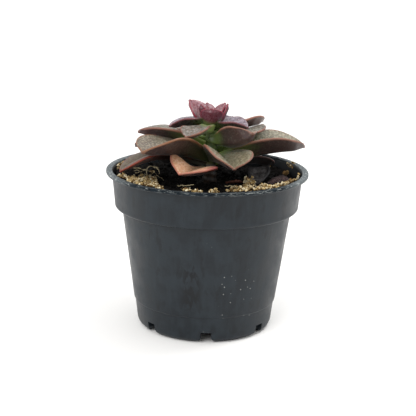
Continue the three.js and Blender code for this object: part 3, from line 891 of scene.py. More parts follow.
@dataclass
class Pot:
    """A round, flared nursery pot with a stepped collar, a lip and drain notches in its foot."""

    rim_radius: float = 45
    height: float = 71
    foot_radius: float = 28
    lip_width: float = 2.7
    lip_depth: float = 1.4
    collar_bottom: float = 56.6
    wall: float = 1.1
    body_top_radius: float = 37.9
    body_top: float = 54.2
    heel: tuple[tuple[float, float], ...] = ((30.3, 1.5), (30.75, 5))
    band_top: float = 12
    band_top_radius: float = 31.6
    band_step: float = 0.5
    floor_underside: float = 2.2
    floor_top: float = 3.2
    foot_ring_width: float = 1.5
    notch_count: int = 7
    first_notch_azimuth: float = 272
    notch_height: float = 5.1
    notch_top_width: float = 4.6
    notch_foot_width: float = 9.4
    notch_corner: float = 0.35
    notch_sweep: Span = (0.7, 2.6)
    notch_inner_radius: float = 21
    sides: int = 224
    sharp_from: float = 38

    @property
    def collar_radius(self) -> float:
        """The collar's outer radius under the lip."""
        return self.rim_radius - self.lip_width + 0.1

    @property
    def collar_bottom_radius(self) -> float:
        """The collar's outer radius at its lower edge."""
        return self.collar_radius - 1.3

    @property
    def slope(self) -> float:
        """How fast the body widens upward between the band and the collar."""
        run = self.body_top_radius - self.band_top_radius - self.band_step
        return run / (self.body_top - self.band_top)

    def outer_radius(self, height: float) -> float:
        """The body's outer radius at a height, between the band and the collar."""
        return self.body_top_radius - (self.body_top - height) * self.slope

    def inner_radius(self, height: float) -> float:
        """The radius of the pot's inside.

        Args:
            height: above the foot.

        Returns:
            The outer radius there, less the wall.
        """
        if height > self.collar_bottom:
            up = (height - self.collar_bottom) / (self.height - self.collar_bottom)
            flare = self.collar_radius - self.collar_bottom_radius
            return self.collar_bottom_radius - self.wall + up * flare
        return self.outer_radius(min(height, self.body_top - 1)) - self.wall

    def outline(self) -> Array:
        """The wall's outline as radius and height.

        Formula: straight runs between named corners, where each marked corner is replaced by a
        quadratic curve from a point before it to a point after it.

        Returns:
            Points from the floor's underside, out and up the outside, and down the inside.
        """
        foot_inner = self.foot_radius - self.foot_ring_width
        under_lip = self.height - self.lip_depth
        inner_collar, inner_top = self.collar_bottom + 0.2, self.body_top - 1
        corners = [
            ((0.5, self.floor_underside), 0), ((foot_inner - 0.6, self.floor_underside), 0.2),
            ((foot_inner, 0), 0.15), ((self.foot_radius - 0.1, 0), 0.3),
            (self.heel[0], 1.6), (self.heel[1], 0.8),
            ((self.band_top_radius, self.band_top), 0.15),
            ((self.band_top_radius + self.band_step, self.band_top + 0.5), 0.25),
            ((self.body_top_radius, self.body_top), 0.25),
            ((self.collar_bottom_radius - 0.1, self.body_top + 0.3), 1.9),
            ((self.collar_bottom_radius, self.collar_bottom), 0.5),
            ((self.collar_radius, under_lip), 0.3), ((self.rim_radius, under_lip), 0.45),
            ((self.rim_radius, self.height), 0.5),
            ((self.rim_radius - self.lip_width, self.height), 0.35),
            ((self.inner_radius(inner_collar), inner_collar), 0.5),
            ((self.inner_radius(inner_top), inner_top), 0.5),
            ((self.inner_radius(self.band_top), self.band_top), 0.3),
            ((self.outer_radius(self.floor_top) - self.wall - 0.3, self.floor_top), 2.0),
            ((0.5, self.floor_top), 0),
        ]
        places = np.array([corner for corner, _ in corners], float)
        pieces = []
        t = np.linspace(0, 1, 6)[:, None]
        for i, (place, (_, size)) in enumerate(zip(places, corners)):
            if size == 0:
                pieces.append(place[None])
                continue
            before, after = places[i - 1] - place, places[i + 1] - place
            start = place + before * min(size / np.linalg.norm(before), 0.5)
            stop = place + after * min(size / np.linalg.norm(after), 0.5)
            pieces.append(curve(t, start, place, stop))
        return np.concatenate(pieces)

    def wall_shell(self) -> Shell:
        """The wall before the notches are cut: the outline turned about the pot's axis.

        Returns:
            The shell, with the vertex value inside.
        """
        outline = self.outline()
        turn = np.linspace(0, FULL_TURN, self.sides, endpoint=False)
        rings = polar(outline[:, :1], turn[None], outline[:, 1:])
        top_row = len(outline) - 1 - int(np.argmax(outline[::-1, 1] > self.height - 0.5))
        inside = smooth(top_row - 1, top_row + 2, np.arange(len(outline), dtype=float))
        return loft(rings, start=[0, 0, self.floor_underside], end=[0, 0, self.floor_top],
                    values={"inside": inside[:, None] * np.ones_like(turn)[None]})

    def notch_shell(self, azimuth: float) -> Shell:
        """A cutter for one notch.

        Formula: the cross-section is a slot, straight at its top, whose lower corners sweep out
        to the foot by a quadratic curve. It is carried outward along the notch's azimuth.

        Args:
            azimuth: of the notch's middle, in degrees.

        Returns:
            The cutter, closed at both ends.
        """
        top, foot, corner = self.notch_top_width / 2, self.notch_foot_width / 2, self.notch_corner
        t = np.linspace(0, 1, 9)
        turn = np.linspace(0, math.pi / 2, 5)
        side_x = np.concatenate([[foot], curve(t, foot, top + 0.5, top),
                                 top - corner + corner * np.cos(turn)])
        side_z = np.concatenate([[-1], curve(t, 0, *self.notch_sweep),
                                 self.notch_height - corner + corner * np.sin(turn)])
        across = np.concatenate([side_x, -side_x[::-1]])
        height = np.concatenate([side_z, side_z[::-1]])
        reach = np.array([self.notch_inner_radius, self.foot_radius + 8])
        angle = math.radians(azimuth)
        ahead = np.array([math.cos(angle), math.sin(angle), 0])
        aside = np.array([-math.sin(angle), math.cos(angle), 0])
        return loft(reach[:, None, None] * ahead + across[None, :, None] * aside
                    + height[None, :, None] * np.array([0, 0, 1.0]))

    def build(self) -> bpy.types.Object:
        """Makes the pot, cuts its notches and dresses it.

        Returns:
            The pot's wall, with the notches cut into its mesh.
        """
        pot = self.wall_shell().make("pot_shell", "pot_plastic", ["pot"])
        turns = [self.first_notch_azimuth + i * 360 / self.notch_count
                 for i in range(self.notch_count)]
        cutter = Shell.joined([self.notch_shell(azimuth) for azimuth in turns]).make(
            "notch_cutter", "pot_plastic")
        cut = pot.modifiers.new("notches", "BOOLEAN")
        cut.operation, cut.solver, cut.object = "DIFFERENCE", "MANIFOLD", cutter
        bpy.context.view_layer.update()
        evaluated = pot.evaluated_get(bpy.context.evaluated_depsgraph_get())
        mesh = bpy.data.meshes.new_from_object(evaluated)
        pot.modifiers.clear()
        pot.data = mesh
        bpy.data.objects.remove(cutter)
        mesh.polygons.foreach_set("use_smooth", np.ones(len(mesh.polygons), bool))
        mesh.set_sharp_from_angle(angle=math.radians(self.sharp_from))
        mesh.materials.clear()
        mesh.materials.append(PotPlastic().material())
        return pot


# The soil, and what lies on it.

@dataclass
class Soil:
    """Peat that fills the pot, heaped against the wall at the front left."""

    pot: Pot
    gap: float = 0.3
    level: float = 65.2
    heap: float = 3.0
    heap_azimuth: float = 235
    heap_span: Span = (14, 40)
    swell: float = 0.35
    crumb: float = 0.32
    calm_span: Span = (4, 9)
    octaves: Octaves = ((0.55, 2.9, 3), (0.34, 1.3, 5), (0.16, 0.65, 7))
    stem_span: Span = (3.6, 7)
    wall_span: Span = (38.5, 40.6)
    wall_calm: float = 0.7
    top_radius: float = 40.6
    rows: int = 84
    columns: int = 320
    crumb_count: int = 620
    crumb_radius: float = 39.6
    crumb_size: float = 0.35
    crumb_spread: float = 0.95

    def height(self, x: Array, y: Array) -> Array:
        """The smooth height of the soil, as in the part's source.

        Formula: the level, plus a heap that grows over a span of radii on the heap's side, plus
        a long swell and a short crumbling that fade out at the stem.

        Args:
            x: places to the right.
            y: places away from the viewer.

        Returns:
            Heights in mm.
        """
        radius, azimuth = np.hypot(x, y), np.arctan2(y, x)
        side = 0.5 + 0.5 * np.cos(azimuth - math.radians(self.heap_azimuth))
        swell = self.swell * np.sin(0.31 * x + 1.1) * np.cos(0.27 * y - 0.4)
        crumb = self.crumb * np.sin(1.9 * x + 0.8 * y) * np.cos(1.7 * y - 0.6 * x)
        heap = self.heap * smooth(*self.heap_span, radius) * side
        return self.level + heap + (swell + crumb) * smooth(*self.calm_span, radius)

    def rough_height(self, x: Array, y: Array) -> Array:
        """The soil's height with its crumbs.

        Formula: the smooth height plus octaves of noise, which fade at the stem and at the wall.

        Args:
            x: places to the right.
            y: places away from the viewer.

        Returns:
            Heights in mm.
        """
        radius = np.hypot(x, y)
        wall = 1 - self.wall_calm * smooth(*self.wall_span, radius)
        fade = smooth(*self.stem_span, radius) * wall
        return self.height(x, y) + rubble(x, y, self.octaves) * fade

    def bed_shell(self) -> Shell:
        """The soil body.

        Formula: rings round the axis, first over the rough top from the stem to the wall, and
        then down the pot's inside with a gap to it.

        Returns:
            The closed body.
        """
        pot = self.pot
        turn = np.linspace(0, FULL_TURN, self.columns, endpoint=False)
        radii = np.linspace(0.8, self.top_radius, self.rows)
        x, y = radii[:, None] * np.cos(turn), radii[:, None] * np.sin(turn)
        top = np.stack([x, y, self.rough_height(x, y)], axis=-1)
        floor = pot.floor_top + self.gap
        heights = np.array([62, pot.collar_bottom + 0.4, pot.body_top - 1, pot.band_top + 0.5,
                            pot.floor_top + 2.2, floor])
        insets = np.array([0, 0, 0, 0, 1.1, 2.2])
        radii = np.array([pot.inner_radius(height) for height in heights]) - self.gap - insets
        side = polar(radii[:, None], turn[None], heights[:, None])
        middle = [0, 0, float(self.height(np.zeros(1), np.zeros(1))[0])]
        return loft(np.concatenate([top, side]), start=middle, end=[0, 0, floor])

    def crumb_shell(self) -> Shell:
        """Loose lumps of peat, strewn evenly over the soil and half sunk in it.

        Returns:
            The lumps as one shell.
        """
        draw = np.random.default_rng(41)
        radius = self.crumb_radius * np.sqrt(draw.uniform(0.02, 1, self.crumb_count))
        turn = draw.uniform(0, FULL_TURN, self.crumb_count)
        share = draw.uniform(0, 1, self.crumb_count)
        sizes = self.crumb_size + self.crumb_spread * share ** 2.2
        x, y = radius * np.cos(turn), radius * np.sin(turn)
        z = self.rough_height(x, y) + 0.2 * sizes
        return lumps(np.stack([x, y, z], axis=-1), sizes, 0.7, 0.3, seed=43)

    def build(self) -> list[bpy.types.Object]:
        """Makes the soil body and its loose crumbs.

        Returns:
            The two pieces.
        """
        peat = [Peat().material()]
        return [self.bed_shell().make("soil_bed", "peat", ["soil"], materials=peat),
                self.crumb_shell().make("soil_crumbs", "peat", smooth_to=35, materials=peat)]


@dataclass
class Fibres:
    """Pale dry root fibres that lie on the soil, most of them at the left.

    A laid fibre is three points, each an x, a y and a height above the soil.
    """

    soil: Soil
    laid: tuple[tuple[Point, Point, Point], ...] = (
        ((-38.5, -5, 3.6), (-34, 0.5, 4.2), (-27.5, 5.5, 2.6)),
        ((-35, 3, 2.8), (-31, 5, 3.6), (-24.5, 4, 2.0)),
        ((-26.5, -5, 2.4), (-29, 9, 4.8), (-22, 12, 2.6)),
        ((-25, 13, 2.2), (-21.5, 9, 3.8), (-21.5, 2, 1.8)),
        ((-13, -16, 1.4), (-9, -20, 3.0), (-5.5, -30, 3.8)),
        ((7.5, -15, 1.8), (10.5, -16, 2.6), (13, -19, 2.2)),
    )
    laid_radius: float = 0.25
    strewn_count: int = 8
    strewn_radius: float = 0.16
    edge_radius: float = 39.5
    points: int = 18

    def over(self, x: Array, y: Array, lift: Array, radius: float) -> Shell:
        """One fibre through places in the plane, raised by the lift above the soil."""
        return strand(np.stack([x, y, self.soil.height(x, y) + lift], axis=-1), radius)

    def laid_strands(self) -> list[Shell]:
        """The laid fibres.

        Returns:
            One for each three points: the quadratic curve through the plane and the lift.
        """
        t = np.linspace(0, 1, self.points)[:, None]
        return [self.over(*curve(t, *np.array(three)).T, self.laid_radius)
                for three in self.laid]

    def strewn_strands(self) -> list[Shell]:
        """The strewn fibres.

        Formula: each is a short arc in the plane, lifted by half a sine wave and kept inside the
        pot by moving its outer points inward.

        Returns:
            The fibres at the left of the soil.
        """
        draw = np.random.default_rng(71)
        t = np.linspace(0, 1, self.points)
        strands = []
        for _ in range(self.strewn_count):
            x0, y0 = draw.uniform(-36, -24), draw.uniform(-13, 12)
            heading, bend = draw.uniform(0, 6.28), draw.uniform(-1.8, 1.8)
            length = draw.uniform(4, 9)
            turn = heading + bend * t
            x = x0 + np.cumsum(np.cos(turn)) * length / self.points
            y = y0 + np.cumsum(np.sin(turn)) * length / self.points
            keep = np.minimum(self.edge_radius / np.hypot(x, y), 1)
            lift = 0.75 + draw.uniform(0.2, 1.6) * np.sin(math.pi * t)
            radius = self.strewn_radius * draw.uniform(0.6, 1.3)
            strands.append(self.over(x * keep, y * keep, lift, radius))
        return strands

    def build(self) -> bpy.types.Object:
        """Makes the fibres as one piece."""
        return Shell.joined(self.laid_strands() + self.strewn_strands()).make(
            "root_fibres", "grit", materials=[DryRoot().material()])


@dataclass(frozen=True)
class Clump:
    """A heap of grains about a place that is given as azimuth and radius.

    Its reach is the heap's half width in mm. A height puts the grains on the wall, spread over
    twice the tall measure, and not on the drift's top.
    """

    azimuth: float
    radius: float
    reach: float
    grains: int
    lift: float = 0.8
    size: float = 0.42
    height: Optional[float] = None
    tall: float = 0.3

    def middle(self) -> Array:
        """The clump's middle in the plane."""
        angle = math.radians(self.azimuth)
        return self.radius * np.array([math.cos(angle), math.sin(angle)])

    def nearness(self, points: Array) -> Array:
        """How near points are in the plane: 1 in the middle, falling as a bell does."""
        x, y = (points[:, :2] - self.middle()).T
        return np.exp(-(np.hypot(x, y) / self.reach) ** 2)


@dataclass
class Drift:
    """Peat that climbs the pot's wall, with clumps of tan grit lying on it.

    It runs from its start to its stop azimuth, and from its inner radius to the wall.
    """

    node: str
    soil: Soil
    start: float
    stop: float
    inner: float
    wall_top: float
    seed: int
    clumps: tuple[Clump, ...]
    wall_radius: float = 41.0
    cover: float = 0.75
    ragged: float = 2.2
    waves: float = 16.5
    least_width: float = 0.8
    taper: float = 7
    rows: int = 44
    steps_per_degree: float = 2.2

    def top(self, x: Array, y: Array) -> Array:
        """The mound's height.

        Formula: the soil's height plus a thin cover, plus what is left up to the top at the wall
        times the square of the smooth step from the inner radius to the wall.

        Args:
            x: places to the right.
            y: places away from the viewer.

        Returns:
            Heights in mm.
        """
        along = smooth(self.inner, 40.5, np.hypot(x, y))
        ground = self.soil.height(x, y)
        climb = np.maximum(self.wall_top - ground - self.cover, 0) * along ** 2
        return ground + self.cover + climb

    def mound_shell(self) -> Shell:
        """The mound under the grains.

        Formula: a polar sector with a wavy inner edge that moves out to the wall at both ends.
        Its top is the drift's height plus noise, and its floor is level and under the soil.

        Returns:
            The shell, with a value 'tone' that is above 0 near a clump and below 0 in peat.
        """
        steps = int((self.stop - self.start) * self.steps_per_degree)
        turn = np.radians(np.linspace(self.start, self.stop, steps))
        share = np.linspace(0, 1, self.rows)
        outer = self.soil.pot.inner_radius(self.soil.level - 1) - self.soil.gap
        span, back = np.linspace(0, 1, steps), np.linspace(1, 0, steps)
        ends = self.taper * (1 - smooth(0, 0.12, span) * smooth(0, 0.12, back))
        edge = self.inner + self.ragged * np.sin(self.waves * turn + self.seed) + ends
        edge = np.minimum(edge, outer - self.least_width)[:, None]
        radius = edge + (outer - edge) * share
        x, y = radius * np.cos(turn)[:, None], radius * np.sin(turn)[:, None]
        rough = rubble(x, y, ((0.5, 1.9, self.seed), (0.3, 0.8, self.seed + 1)))
        thin = smooth(0, 0.25, share)[None]
        ground = self.soil.height(x, y)
        z = ground - 0.4 + (self.top(x, y) - ground + rough) * thin
        base = np.full_like(x, self.soil.level - 1.5)
        shell = slab(np.stack([x, y, z], axis=-1), np.stack([x, y, base], axis=-1))
        near = np.max([clump.nearness(shell.points) for clump in self.clumps], axis=0)
        mottle = lattice_noise(shell.points, 1.1, self.seed + 2)
        shell.values["tone"] = -0.35 + 0.65 * near + 0.18 * mottle
        return shell

    def grain_shell(self) -> Shell:
        """The grains of every clump.

        Formula: a grain lies at the clump's middle plus the reach times an even draw over the
        disc, and is raised by the lift times one less the square of its share of the reach.

        Returns:
            The grains of all the clumps as one shell.
        """
        draw = np.random.default_rng(self.seed)
        centres, sizes = [], []
        for clump in self.clumps:
            count, middle = clump.grains, clump.middle()
            share = np.sqrt(draw.uniform(0, 1, count))
            turn = draw.uniform(0, FULL_TURN, count)
            x = middle[0] + clump.reach * share * np.cos(turn)
            y = middle[1] + clump.reach * share * np.sin(turn)
            size = clump.size * (0.7 + 1.3 * draw.uniform(0, 1, count) ** 2)
            z = self.top(x, y) + clump.lift * (1 - share ** 2) * draw.uniform(0.1, 1, count)
            radius = np.hypot(x, y)
            pull = np.minimum(self.wall_radius - 0.6 * size, radius) / radius
            if clump.height is not None:
                z = clump.height + clump.tall * draw.uniform(-1, 1, count)
                pull = (clump.radius - 0.3 * size) / radius
            centres.append(np.stack([x * pull, y * pull, z], axis=-1))
            sizes.append(size)
        return lumps(np.concatenate(centres), np.concatenate(sizes), 0.66, 0.36,
                     seed=self.seed + 5)

    def build(self, material: bpy.types.Material) -> bpy.types.Object:
        """Makes the drift as one piece."""
        return Shell.joined([self.mound_shell(), self.grain_shell()]).make(
            f"{self.node}_drift", "grit", [self.node], smooth_to=40, materials=[material])


def grit_drifts(soil: Soil) -> list[Drift]:
    """The three drifts, with the clumps of grit that the photograph shows on them.

    Args:
        soil: what they lie on.

    Returns:
        The drifts at the left, in front and at the back.
    """
    # A clump's row: azimuth, radius, reach, grains, lift, size, height and tall.
    left = (
        (198, 40, 2.0, 18, 0.4), (194, 38, 2.0, 18, 0.5), (201, 37, 2.6, 40, 0.8),
        (204, 35, 2.8, 56, 1.0), (211, 34.5, 3.2, 90, 1.4), (210, 31, 3.2, 90, 1.7),
        (207, 28, 2.8, 76, 2.0), (203, 25.5, 2.2, 46, 2.0), (190, 28.5, 2.4, 34, 1.5),
        (184, 26, 2.0, 26, 1.3), (187, 24, 1.6, 18, 1.1), (222, 31, 2.6, 56, 1.3),
        (225, 35.5, 3.0, 66, 0.8), (220, 38, 2.6, 46, 0.6), (213, 38.5, 2.4, 38, 0.5),
        (233, 33, 1.8, 14, 0.4), (159, 26.6, 0.7, 5, 0.8, 0.55),
        (240, 40, 2.4, 16, 0.2, 0.34, 70.3, 0.3), (163, 40.8, 3.4, 34, 0, 0.34, 70.0, 0.9),
        (171, 40.8, 3.2, 34, 0, 0.34, 69.7, 1.2),
    )
    front = (
        (256, 34.5, 2.2, 14, 0.5), (263, 36.4, 2.4, 20, 0.6), (242, 20, 2.6, 10, 0.2, 0.34),
        (275, 33.6, 2.2, 40, 1.9), (298, 23, 2.8, 34, 1.1), (299, 30, 3.2, 46, 1.4),
        (310, 20, 2.4, 30, 1.4), (312, 26, 3.4, 70, 2.0), (318, 32, 3.4, 70, 1.6),
        (322, 24, 2.8, 50, 2.3), (330, 28, 2.4, 44, 2.1), (335, 19.2, 1.5, 32, 4.2),
        (343, 20.6, 1.7, 34, 4.6), (309, 36.5, 3.0, 56, 0.8), (317, 37, 2.6, 40, 0.6),
        (326, 36, 2.2, 26, 0.5), (332, 38, 2.0, 20, 0.4), (339, 39.3, 2.0, 16, 0.3),
        (313, 40.2, 2.4, 20, 0, 0.32, 70.4, 0.3), (320, 40.3, 2.4, 20, 0, 0.32, 70.5, 0.3),
        (329, 40.3, 2.6, 26, 0, 0.32, 70.6, 0.3), (338, 40.3, 2.4, 22, 0, 0.34, 70.6, 0.3),
        (349, 40.6, 2.6, 14, 0, 0.32, 70.2, 0.6), (358, 40.8, 3.4, 16, 0, 0.32, 69.8, 0.9),
    )
    back = (
        (22, 40.9, 3.0, 26, 0, 0.34, 70.2, 0.8), (23, 42.9, 2.4, 9, 0, 0.36, 71.1, 0.2),
        (42, 39.8, 0.5, 4, 1.6, 0.55),
    )
    drifts = (("grit_left", 150, 243, 25, 69.9, 11, left),
              ("grit_front", 250, 338, 23, 70.2, 23, front),
              ("grit_back", 22, 52, 35.5, 67.6, 37, back))
    return [Drift(node, soil, *measures, tuple(Clump(*row) for row in rows))
            for node, *measures, rows in drifts]


# The plant.

@dataclass(frozen=True)
class LeafForm:
    """How a blade's width runs along it, as shares of its length and width."""

    widest_at: float
    waist: float
    shoulder: float
    tip_power: float
    tip_round: float


COMMON = LeafForm(0.62, 0.42, 1, 2.3, 0.6)
POINTED = LeafForm(0.58, 0.42, 1, 1.95, 0.62)
BLUNT = LeafForm(0.6, 0.4, 1, 2.6, 0.52)
CUPPED = LeafForm(0.57, 0.82, 1, 2.7, 0.5)
BROAD = LeafForm(0.66, 0.3, 1, 2.3, 0.6)
SPATHULATE = LeafForm(0.65, 0.22, 6, 1.65, 0.82)
PADDLE = LeafForm(0.69, 0.28, 3.8, 1.8, 0.62)
ROUND = LeafForm(0.57, 0.3, 1, 1.9, 0.53)
SCOOP = LeafForm(0.68, 0.38, 1.8, 2.7, 0.52)
KEEL = LeafForm(0.57, 0.26, 1, 3, 0.45)
APRON = LeafForm(0.7, 0.4, 3, 1.7, 0.64)


@dataclass
class Leaf:
    """One fleshy leaf: a folded blade along a curved midrib, with a short point.

    Lengths are in mm and angles in degrees. The place and form are those of its CAD node. The
    body's thickness is a least one plus a share of the width, and so is the edge's, up to a most.
    Swellings and crumples are octaves of noise: a strength, a size and a step on from the seed.
    The strength of crumples is a share of the leaf's own crumple.
    """

    node: str
    azimuth: float
    base: float
    length: float
    width: float
    rise: float
    tip_rise: float
    fold: float
    cup: float
    roll: float = 0
    swing: float = 0
    look: LeafLook = LeafLook.OLIVE
    form: LeafForm = COMMON
    thick: Optional[float] = None
    start: Optional[tuple[float, float]] = None
    crumple: float = 0
    stem_x: float = 1
    root_radius: float = 2
    root_sunk: float = 1.5
    tip_half_width: float = 0.35
    point_length: float = 0.5
    least_thickness: float = 0.7
    body_thickness: tuple[float, float] = (1.3, 0.1)
    edge_thickness: tuple[float, float, float] = (0.6, 0.03, 1.25)
    rise_power: float = 1.3
    row_power: float = 1.35
    crease: float = 0.07
    flattening: float = 0.2
    wobble: float = 0.012
    waviness: float = 0.011
    swellings: Octaves = ((0.09, 3.4, 0),)
    crumples: Octaves = ((1, 3.1, 0), (0.5, 1.4, 1))
    unevenness: float = 0.05
    bulge: float = 0.8
    rows: int = 76
    across: int = 31
    margin_points: int = 5
    tip_rings: int = 5

    def midrib(self, s: Array) -> list[Array]:
        """The frame that travels along the midrib.

        Formula: the elevation goes from rise to tip rise by a power of s, the azimuth from its
        start by the swing evenly, and the place is the running sum of the forward direction.
        Sideways is level and square to it, then rolled; upward is forward x sideways.

        Args:
            s: shares of the midrib's length.

        Returns:
            Places, forward, sideways and upward directions, each n by 3.
        """
        fine = np.linspace(0, 1, 401)
        bend = (self.tip_rise - self.rise) * fine ** self.rise_power
        rise = np.radians(self.rise + bend)
        turn = np.radians(self.azimuth + self.swing * fine)
        ahead = np.stack([np.cos(rise) * np.cos(turn), np.cos(rise) * np.sin(turn),
                          np.sin(rise)], axis=-1)
        level = np.stack([-np.sin(turn), np.cos(turn), np.zeros_like(turn)], axis=-1)
        roll = math.radians(self.roll)
        sideways = level * math.cos(roll) + np.cross(ahead, level) * math.sin(roll)
        angle = math.radians(self.azimuth)
        root = np.array([
            self.stem_x + self.root_radius * math.cos(angle), self.root_radius * math.sin(angle),
            self.base - self.root_sunk * math.sin(math.radians(self.rise)),
        ])
        if self.start is not None:
            root = np.array([*self.start, self.base])
        step = (self.length + self.root_sunk) / (len(fine) - 1)
        steps = np.cumsum((ahead[1:] + ahead[:-1]) / 2, axis=0)
        places = root + np.concatenate([np.zeros((1, 3)), steps]) * step
        return [np.stack([np.interp(s, fine, part[:, axis]) for axis in range(3)], axis=-1)
                for part in (places, ahead, sideways, np.cross(ahead, sideways))]

    def half_width(self, s: Array) -> Array:
        """Half the blade's width.

        Formula: from a waist it swells by a power of a sine to the widest place, and then falls
        as one less a power of the way on, itself raised to the tip's roundness.

        Args:
            s: shares of the midrib's length.

        Returns:
            Half widths in mm.
        """
        form, half = self.form, self.width / 2
        early = np.clip(s / form.widest_at, 0, 1)
        late = np.clip((s - form.widest_at) / (1 - form.widest_at), 0, 1)
        swell = np.sin(early ** form.shoulder * math.pi / 2) ** 1.3
        swell = form.waist + (1 - form.waist) * swell
        fall = (1 - late ** form.tip_power) ** form.tip_round
        return np.maximum(half * np.where(s < form.widest_at, swell, fall), self.tip_half_width)

    def thickness(self, s: Array, u: Array) -> Array:
        """The blade's thickness.

        Formula: it falls from the body's to the edge's with the square of the distance from the
        midrib, and is a quarter more at the root and less towards the tip.

        Args:
            s: shares of the midrib's length, n.
            u: places across from -1 to 1, one row.

        Returns:
            Thicknesses, n by the places across.
        """
        least, growth = self.body_thickness
        body = self.thick if self.thick is not None else least + growth * self.width
        least, growth, most = self.edge_thickness
        edge = min(least + growth * self.width, most, body)
        late = 1 - 0.2 * smooth(0.3, 0.85, s) - 0.4 * smooth(0.85, 1, s)
        taper = np.where(s < 0.3, 1.25 - 0.25 * s / 0.3, late)[:, None]
        return np.maximum(((body - edge) * (1 - u * u) + edge) * taper, self.least_thickness)

    def faces(self, s: Array, u: Array, seed: int) -> tuple[Array, Array, Array]:
        """The blade's two faces.

        Formula: across the blade the fold angle runs evenly from the midrib to the margin, so
        each half is an arc, with its crease softened over a small distance. Waves and noise
        vary the upper face, and the lower one lies under it by the thickness.

        Args:
            s: shares of the midrib's length, n.
            u: places across from -1 to 1, one row.
            seed: of the leaf's small irregularities.

        Returns:
            The upper face, the lower one, and the directions along the blade away from its
            midrib, each n by the places across by 3.
        """
        place, _, sideways, upward = (item[:, None] for item in self.midrib(s))
        soft = self.crease
        distance = (np.sqrt(u * u + soft ** 2) - soft) / (math.sqrt(1 + soft ** 2) - soft)
        side = u / np.sqrt(u * u + soft ** 2)
        relax = (1 - self.flattening * smooth(0.6, 1, s))[:, None]
        fold = math.radians(self.fold) * relax
        bend = math.radians(self.cup - self.fold) * relax
        angle = fold + bend * distance

        phase = np.random.default_rng(seed).uniform(0, 6.28, 3)
        half = self.half_width(s) * (1 + self.wobble * np.sin(9 * s + phase[0]))
        half = np.maximum(half - 0.3 * smooth(0, 0.1, 1 - s), self.tip_half_width)[:, None]
        wave = self.waviness * self.width * np.sin(7.5 * s[:, None] + phase[1] + side)
        out = side * half * (np.sin(angle) - np.sin(fold)) / bend
        up = half * (np.cos(fold) - np.cos(angle)) / bend + wave * np.abs(u) ** 3
        top = place + out[..., None] * sideways + up[..., None] * upward

        sine, cosine = np.sin(angle)[..., None], np.cos(angle)[..., None]
        normal = cosine * upward - side[..., None] * sine * sideways
        crumples = [(self.crumple * share, size, order) for share, size, order in self.crumples
                    if self.crumple]
        for strength, size, order in (*crumples, *self.swellings):
            top = top + strength * lattice_noise(top, size, seed + order)[..., None] * normal
        uneven = self.unevenness * lattice_noise(top, 2.3, seed + 9)
        thickness = self.thickness(s, u) + uneven
        away = np.sign(u)[..., None] * cosine * sideways + sine * upward
        return top, top - thickness[..., None] * normal, away

    def margin(self, top: Array, bottom: Array, away: Array) -> Array:
        """Half a ring round one margin.

        Formula: from the upper to the lower edge point, the middle plus their half difference
        times the cosine, plus the direction away times a bulge times the sine.

        Args:
            top: the upper face's edge, n by 3.
            bottom: the lower face's edge.
            away: the directions away from the blade there.

        Returns:
            Points from the upper edge to the lower, n by the margin's points by 3.
        """
        middle, reach = (top + bottom) / 2, (top - bottom) / 2
        bulge = self.bulge * np.linalg.norm(reach, axis=1, keepdims=True)
        turns = np.linspace(0, math.pi, self.margin_points + 2)[1:-1]
        return np.stack([middle + reach * math.cos(t) + away * bulge * math.sin(t)
                         for t in turns], axis=1)

    def shell(self, seed: int) -> Shell:
        """The leaf's closed surface.

        Formula: each ring goes over the upper face, round one margin, back under the lower face
        and round the other margin. At the tip the last ones shrink by the cosine of an angle
        while they move forward by its sine.

        Args:
            seed: of the leaf's small irregularities.

        Returns:
            The shell, with the vertex values along, across and face.
        """
        s = 1 - (1 - np.linspace(0, 1, self.rows)) ** self.row_power
        u = np.linspace(-1, 1, self.across)
        faces = self.faces(s, u[None], seed)
        last, first = (self.margin(*(grid[:, column] for grid in faces)) for column in (-1, 0))
        rings = np.concatenate([faces[0], last, faces[1][:, ::-1], first[:, ::-1]], axis=1)

        middle, ahead = rings[-1].mean(axis=0), self.midrib(s)[1][-1]
        turns = np.linspace(0, math.pi / 2, self.tip_rings + 2)[1:-1]
        tip = [middle + (rings[-1] - middle) * math.cos(t)
               + ahead * self.point_length * math.sin(t) for t in turns]
        rings = np.concatenate([rings, tip])

        bow = np.linspace(0, 1, self.margin_points + 2)[1:-1]
        beside, level = np.ones(self.margin_points), np.ones(self.across)
        rows = {"across": np.concatenate([u, beside, u[::-1], -beside]),
                "face": np.concatenate([level, 1 - bow, 0 * level, bow])}
        values = {name: np.broadcast_to(row, rings.shape[:2]) for name, row in rows.items()}
        along = np.concatenate([s, np.full(len(tip), s[-1])])[:, None]
        values["along"] = np.broadcast_to(along, rings.shape[:2])
        return loft(rings, end=middle + ahead * self.point_length, values=values)

    def build(self, seed: int, material: bpy.types.Material, slot: str) -> bpy.types.Object:
        """Makes the leaf and dresses it."""
        return self.shell(seed).make(f"{self.node}_blade", slot, [self.node],
                                     materials=[material])


